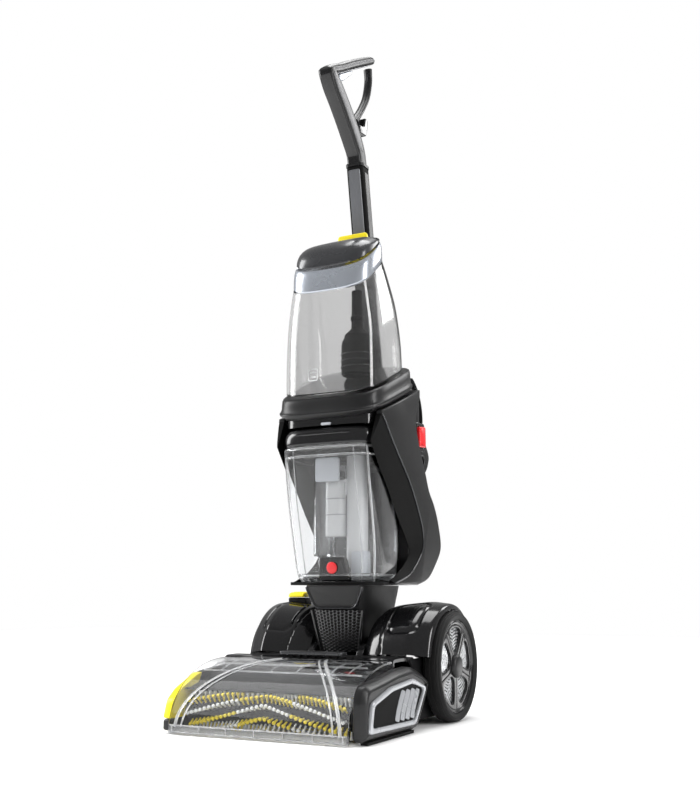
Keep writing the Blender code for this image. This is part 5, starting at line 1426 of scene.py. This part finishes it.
# The post's socket, the hose port with its ringed mouth, its hinged door and the hinge knuckles.
def makeSocket():
    low, high = socketLow, socketHigh
    section = roundedBox((low[0], high[0]), (low[1], high[1]), 0.006, 7)
    rings = []
    for z, d in ((low[2], 0.002), (low[2] + 0.002, 0.0), (high[2] - 0.020, 0.0), (high[2] - 0.018, 0.0016),
                 (high[2] - 0.003, 0.0016), (high[2], 0.0035)):
        line = inset(section, d)
        rings.append(atZ(line, z))
    settle(surface("postSocket", rings, skins["satin_dark"]), "upright", "satin_dark", "post_socket")
    low, high = corner("hose_port")
    y0, y1 = low[1], high[1]
    centre = (0.0, 0.0, (low[2] + high[2]) / 2)
    profile = [(0.016, y0), (0.0205, y0), (0.0215, y0 + 0.001), (0.0215, y0 + 0.0045), (0.0200, y0 + 0.0050),
               (0.0200, y1 - 0.0022), (0.0215, y1 - 0.0018), (0.0215, y1 - 0.0006), (0.0208, y1), (0.0170, y1),
               (0.0162, y1 - 0.0006)]
    settle(turned("hosePort", profile, centre, skins["matte_black"], 56, "Y", True), "upright", "matte_black",
           "hose_port")
    low, high = corner("port_door")
    outline = roundedBox((low[0], high[0]), (low[2], high[2] - 0.004), 0.007, 7)
    settle(plate("portDoor", outline, (low[1], high[1] - 0.0006), 0.0010, skins["satin_dark"], axis="Y"),
           "port_door_body", "satin_dark", "port_door")
    rim = frameRing(inset(outline, 0.003), inset(outline, 0.0055), high[1] - 0.0010, high[1])
    settle(surface("portDoorRim", rim, skins["gloss_black"], ring=True), "port_door_body", "satin_dark")
    for number, x in enumerate((-0.016, 0.0, 0.016)):
        profile = [(0.0001, -0.0045), (0.0016, -0.0045), (0.0020, -0.0040), (0.0020, 0.0040), (0.0016, 0.0045),
                   (0.0001, 0.0045)]
        settle(turned("portKnuckle%d" % number, profile, (x, (low[1] + high[1]) / 2, high[2] - 0.0022),
                      skins["satin_dark"], 20), "port_door_body", "satin_dark")


# A flat picture-frame ring facing backwards, in rings of (x, y, z).
def frameRing(outer, inner, y0, y1):
    return [atY(line, y) for line, y in ((outer, y0), (outer, y1 - 0.0003), (inset(outer, 0.0003), y1),
                                         (inset(inner, -0.0003), y1), (inner, y1 - 0.0003), (inner, y0))]


# The tool holder block, the framed red button, the hooked arm and the cuff it carries.
def makeHolder():
    low, high = corner("tool_holder")
    outline = roundedBox((low[0], high[0]), (low[2], high[2]), 0.006, 7)
    settle(plate("toolHolder", outline, (low[1], high[1]), 0.0028, skins["satin_dark"], 6, "Y"), "upright",
           "matte_black", "tool_holder")
    low, high = corner("tool_release")
    outline = roundedOutline([(low[1], low[2]), (high[1], low[2] + 0.002), (high[1] - 0.001, high[2]),
                              (low[1] + 0.001, high[2] - 0.002)], 0.0035, 7)
    settle(plate("toolRelease", outline, (low[0], high[0] - 0.0008), 0.0018, skins["red"], 6, crown=0.0006),
           "tool_release_body", "red", "tool_release")
    surround = frameLike("releaseSurround", roundedOutline([(low[1] - 0.005, low[2] - 0.007),
                                                            (high[1] + 0.005, low[2] - 0.005),
                                                            (high[1] + 0.004, high[2] + 0.006),
                                                            (low[1] - 0.004, high[2] + 0.005)], 0.006, 7),
                         roundedOutline([(low[1] - 0.0010, low[2] - 0.0010),
                                         (high[1] + 0.0010, low[2] + 0.001), (high[1], high[2] + 0.001),
                                         (low[1], high[2] - 0.001)], 0.004, 7),
                         (low[0] - 0.0045, low[0] + 0.0030), 0.0012, skins["gloss_black"])
    settle(surround, "upright", "matte_black")
    outline = roundedOutline([(0.1525, 0.4285), (0.166, 0.4330), (0.180, 0.4260), (0.190, 0.4150),
                              (0.1965, 0.4030), (0.1900, 0.3870), (0.1800, 0.3760), (0.1700, 0.3720),
                              (0.1715, 0.3840), (0.1780, 0.3960), (0.1720, 0.4030), (0.1525, 0.4020)], 0.006, 6)
    settle(plate("hoseHook", outline, (0.0615, 0.0745), 0.0026, skins["satin_dark"], 6), "upright",
           "matte_black", "hose_hook")
    sweep = np.radians(np.linspace(64, -30, 46))
    strap = np.column_stack([np.full(46, 0.068), 0.104 + 0.068 * np.cos(sweep), 0.462 + 0.070 * np.sin(sweep)])
    settle(tube("hoseStrap", strap, 0.0030, skins["matte_black"], 14, (1.8, 0.6)), "upright", "matte_black")


# The cord gland as a ringed boot, the power rocker in its bezel.
def makeSmallParts():
    low, high = corner("cord_gland")
    centre = ((low[0] + high[0]) / 2, 0.0, (low[2] + high[2]) / 2)
    y0, y1 = low[1], high[1]
    rows = np.linspace(0, 1, 40)
    wave = 0.0056 - 0.0012 * rows + 0.0007 * (np.sin(rows * 2 * math.pi * 5) > 0)
    profile = [(0.0001, y0)] + [(0.0064, y0),
                                (0.0064, y0 + 0.0015)] + [(r, y0 + 0.0018 + t * (y1 - y0 - 0.0022)) for r,
                                                          t in zip(wave, rows)] + [(0.0001, y1)]
    settle(turned("cordGland", profile, centre, skins["rubber"], 36, "Y"), "upright", "rubber", "cord_gland")
    low, high = corner("power_rocker")
    outline = roundedBox((low[0], high[0]), (low[2], high[2]), 0.002, 5)
    grid = []
    for d, y in ((0.0, low[1]), (0.0, high[1] - 0.0015), (0.0006, high[1] - 0.0006),
                 (0.0016, high[1] - 0.0003), (0.0040, high[1] - 0.0003)):
        line = inset(outline, d)
        middle = (low[2] + high[2]) / 2
        grid.append(np.column_stack([line[:, 0], y - 0.0012 * (1 - np.abs(line[:, 1] - middle) / 0.013),
                                     line[:, 1]]))
    settle(surface("powerRocker", grid, skins["red"]), "rocker_body", "red", "power_rocker")
    bezel = frameRing(inset(outline, -0.0032), inset(outline, -0.0004), low[1] - 0.0005, low[1] + 0.0040)
    settle(surface("rockerBezel", bezel, skins["matte_black"], ring=True), "upright", "matte_black")


handleGrey = finish("handleGrey", (0.16, 0.16, 0.165), (0.20, 0.20, 0.205), 0.42, 0.05, bump=0.06, specular=0.3)
paintGrey = finish("paintGrey", (0.17, 0.175, 0.185), (0.205, 0.21, 0.225), 0.30, 0.05, 0.55, bump=0.05,
                   coat=0.3)

makePost()
makeArm()
makeGrip()
makeStrut()
makeTrigger()
makeCordHook()
makeSocket()
makeHolder()
makeSmallParts()
print("post, holder and handle are made")
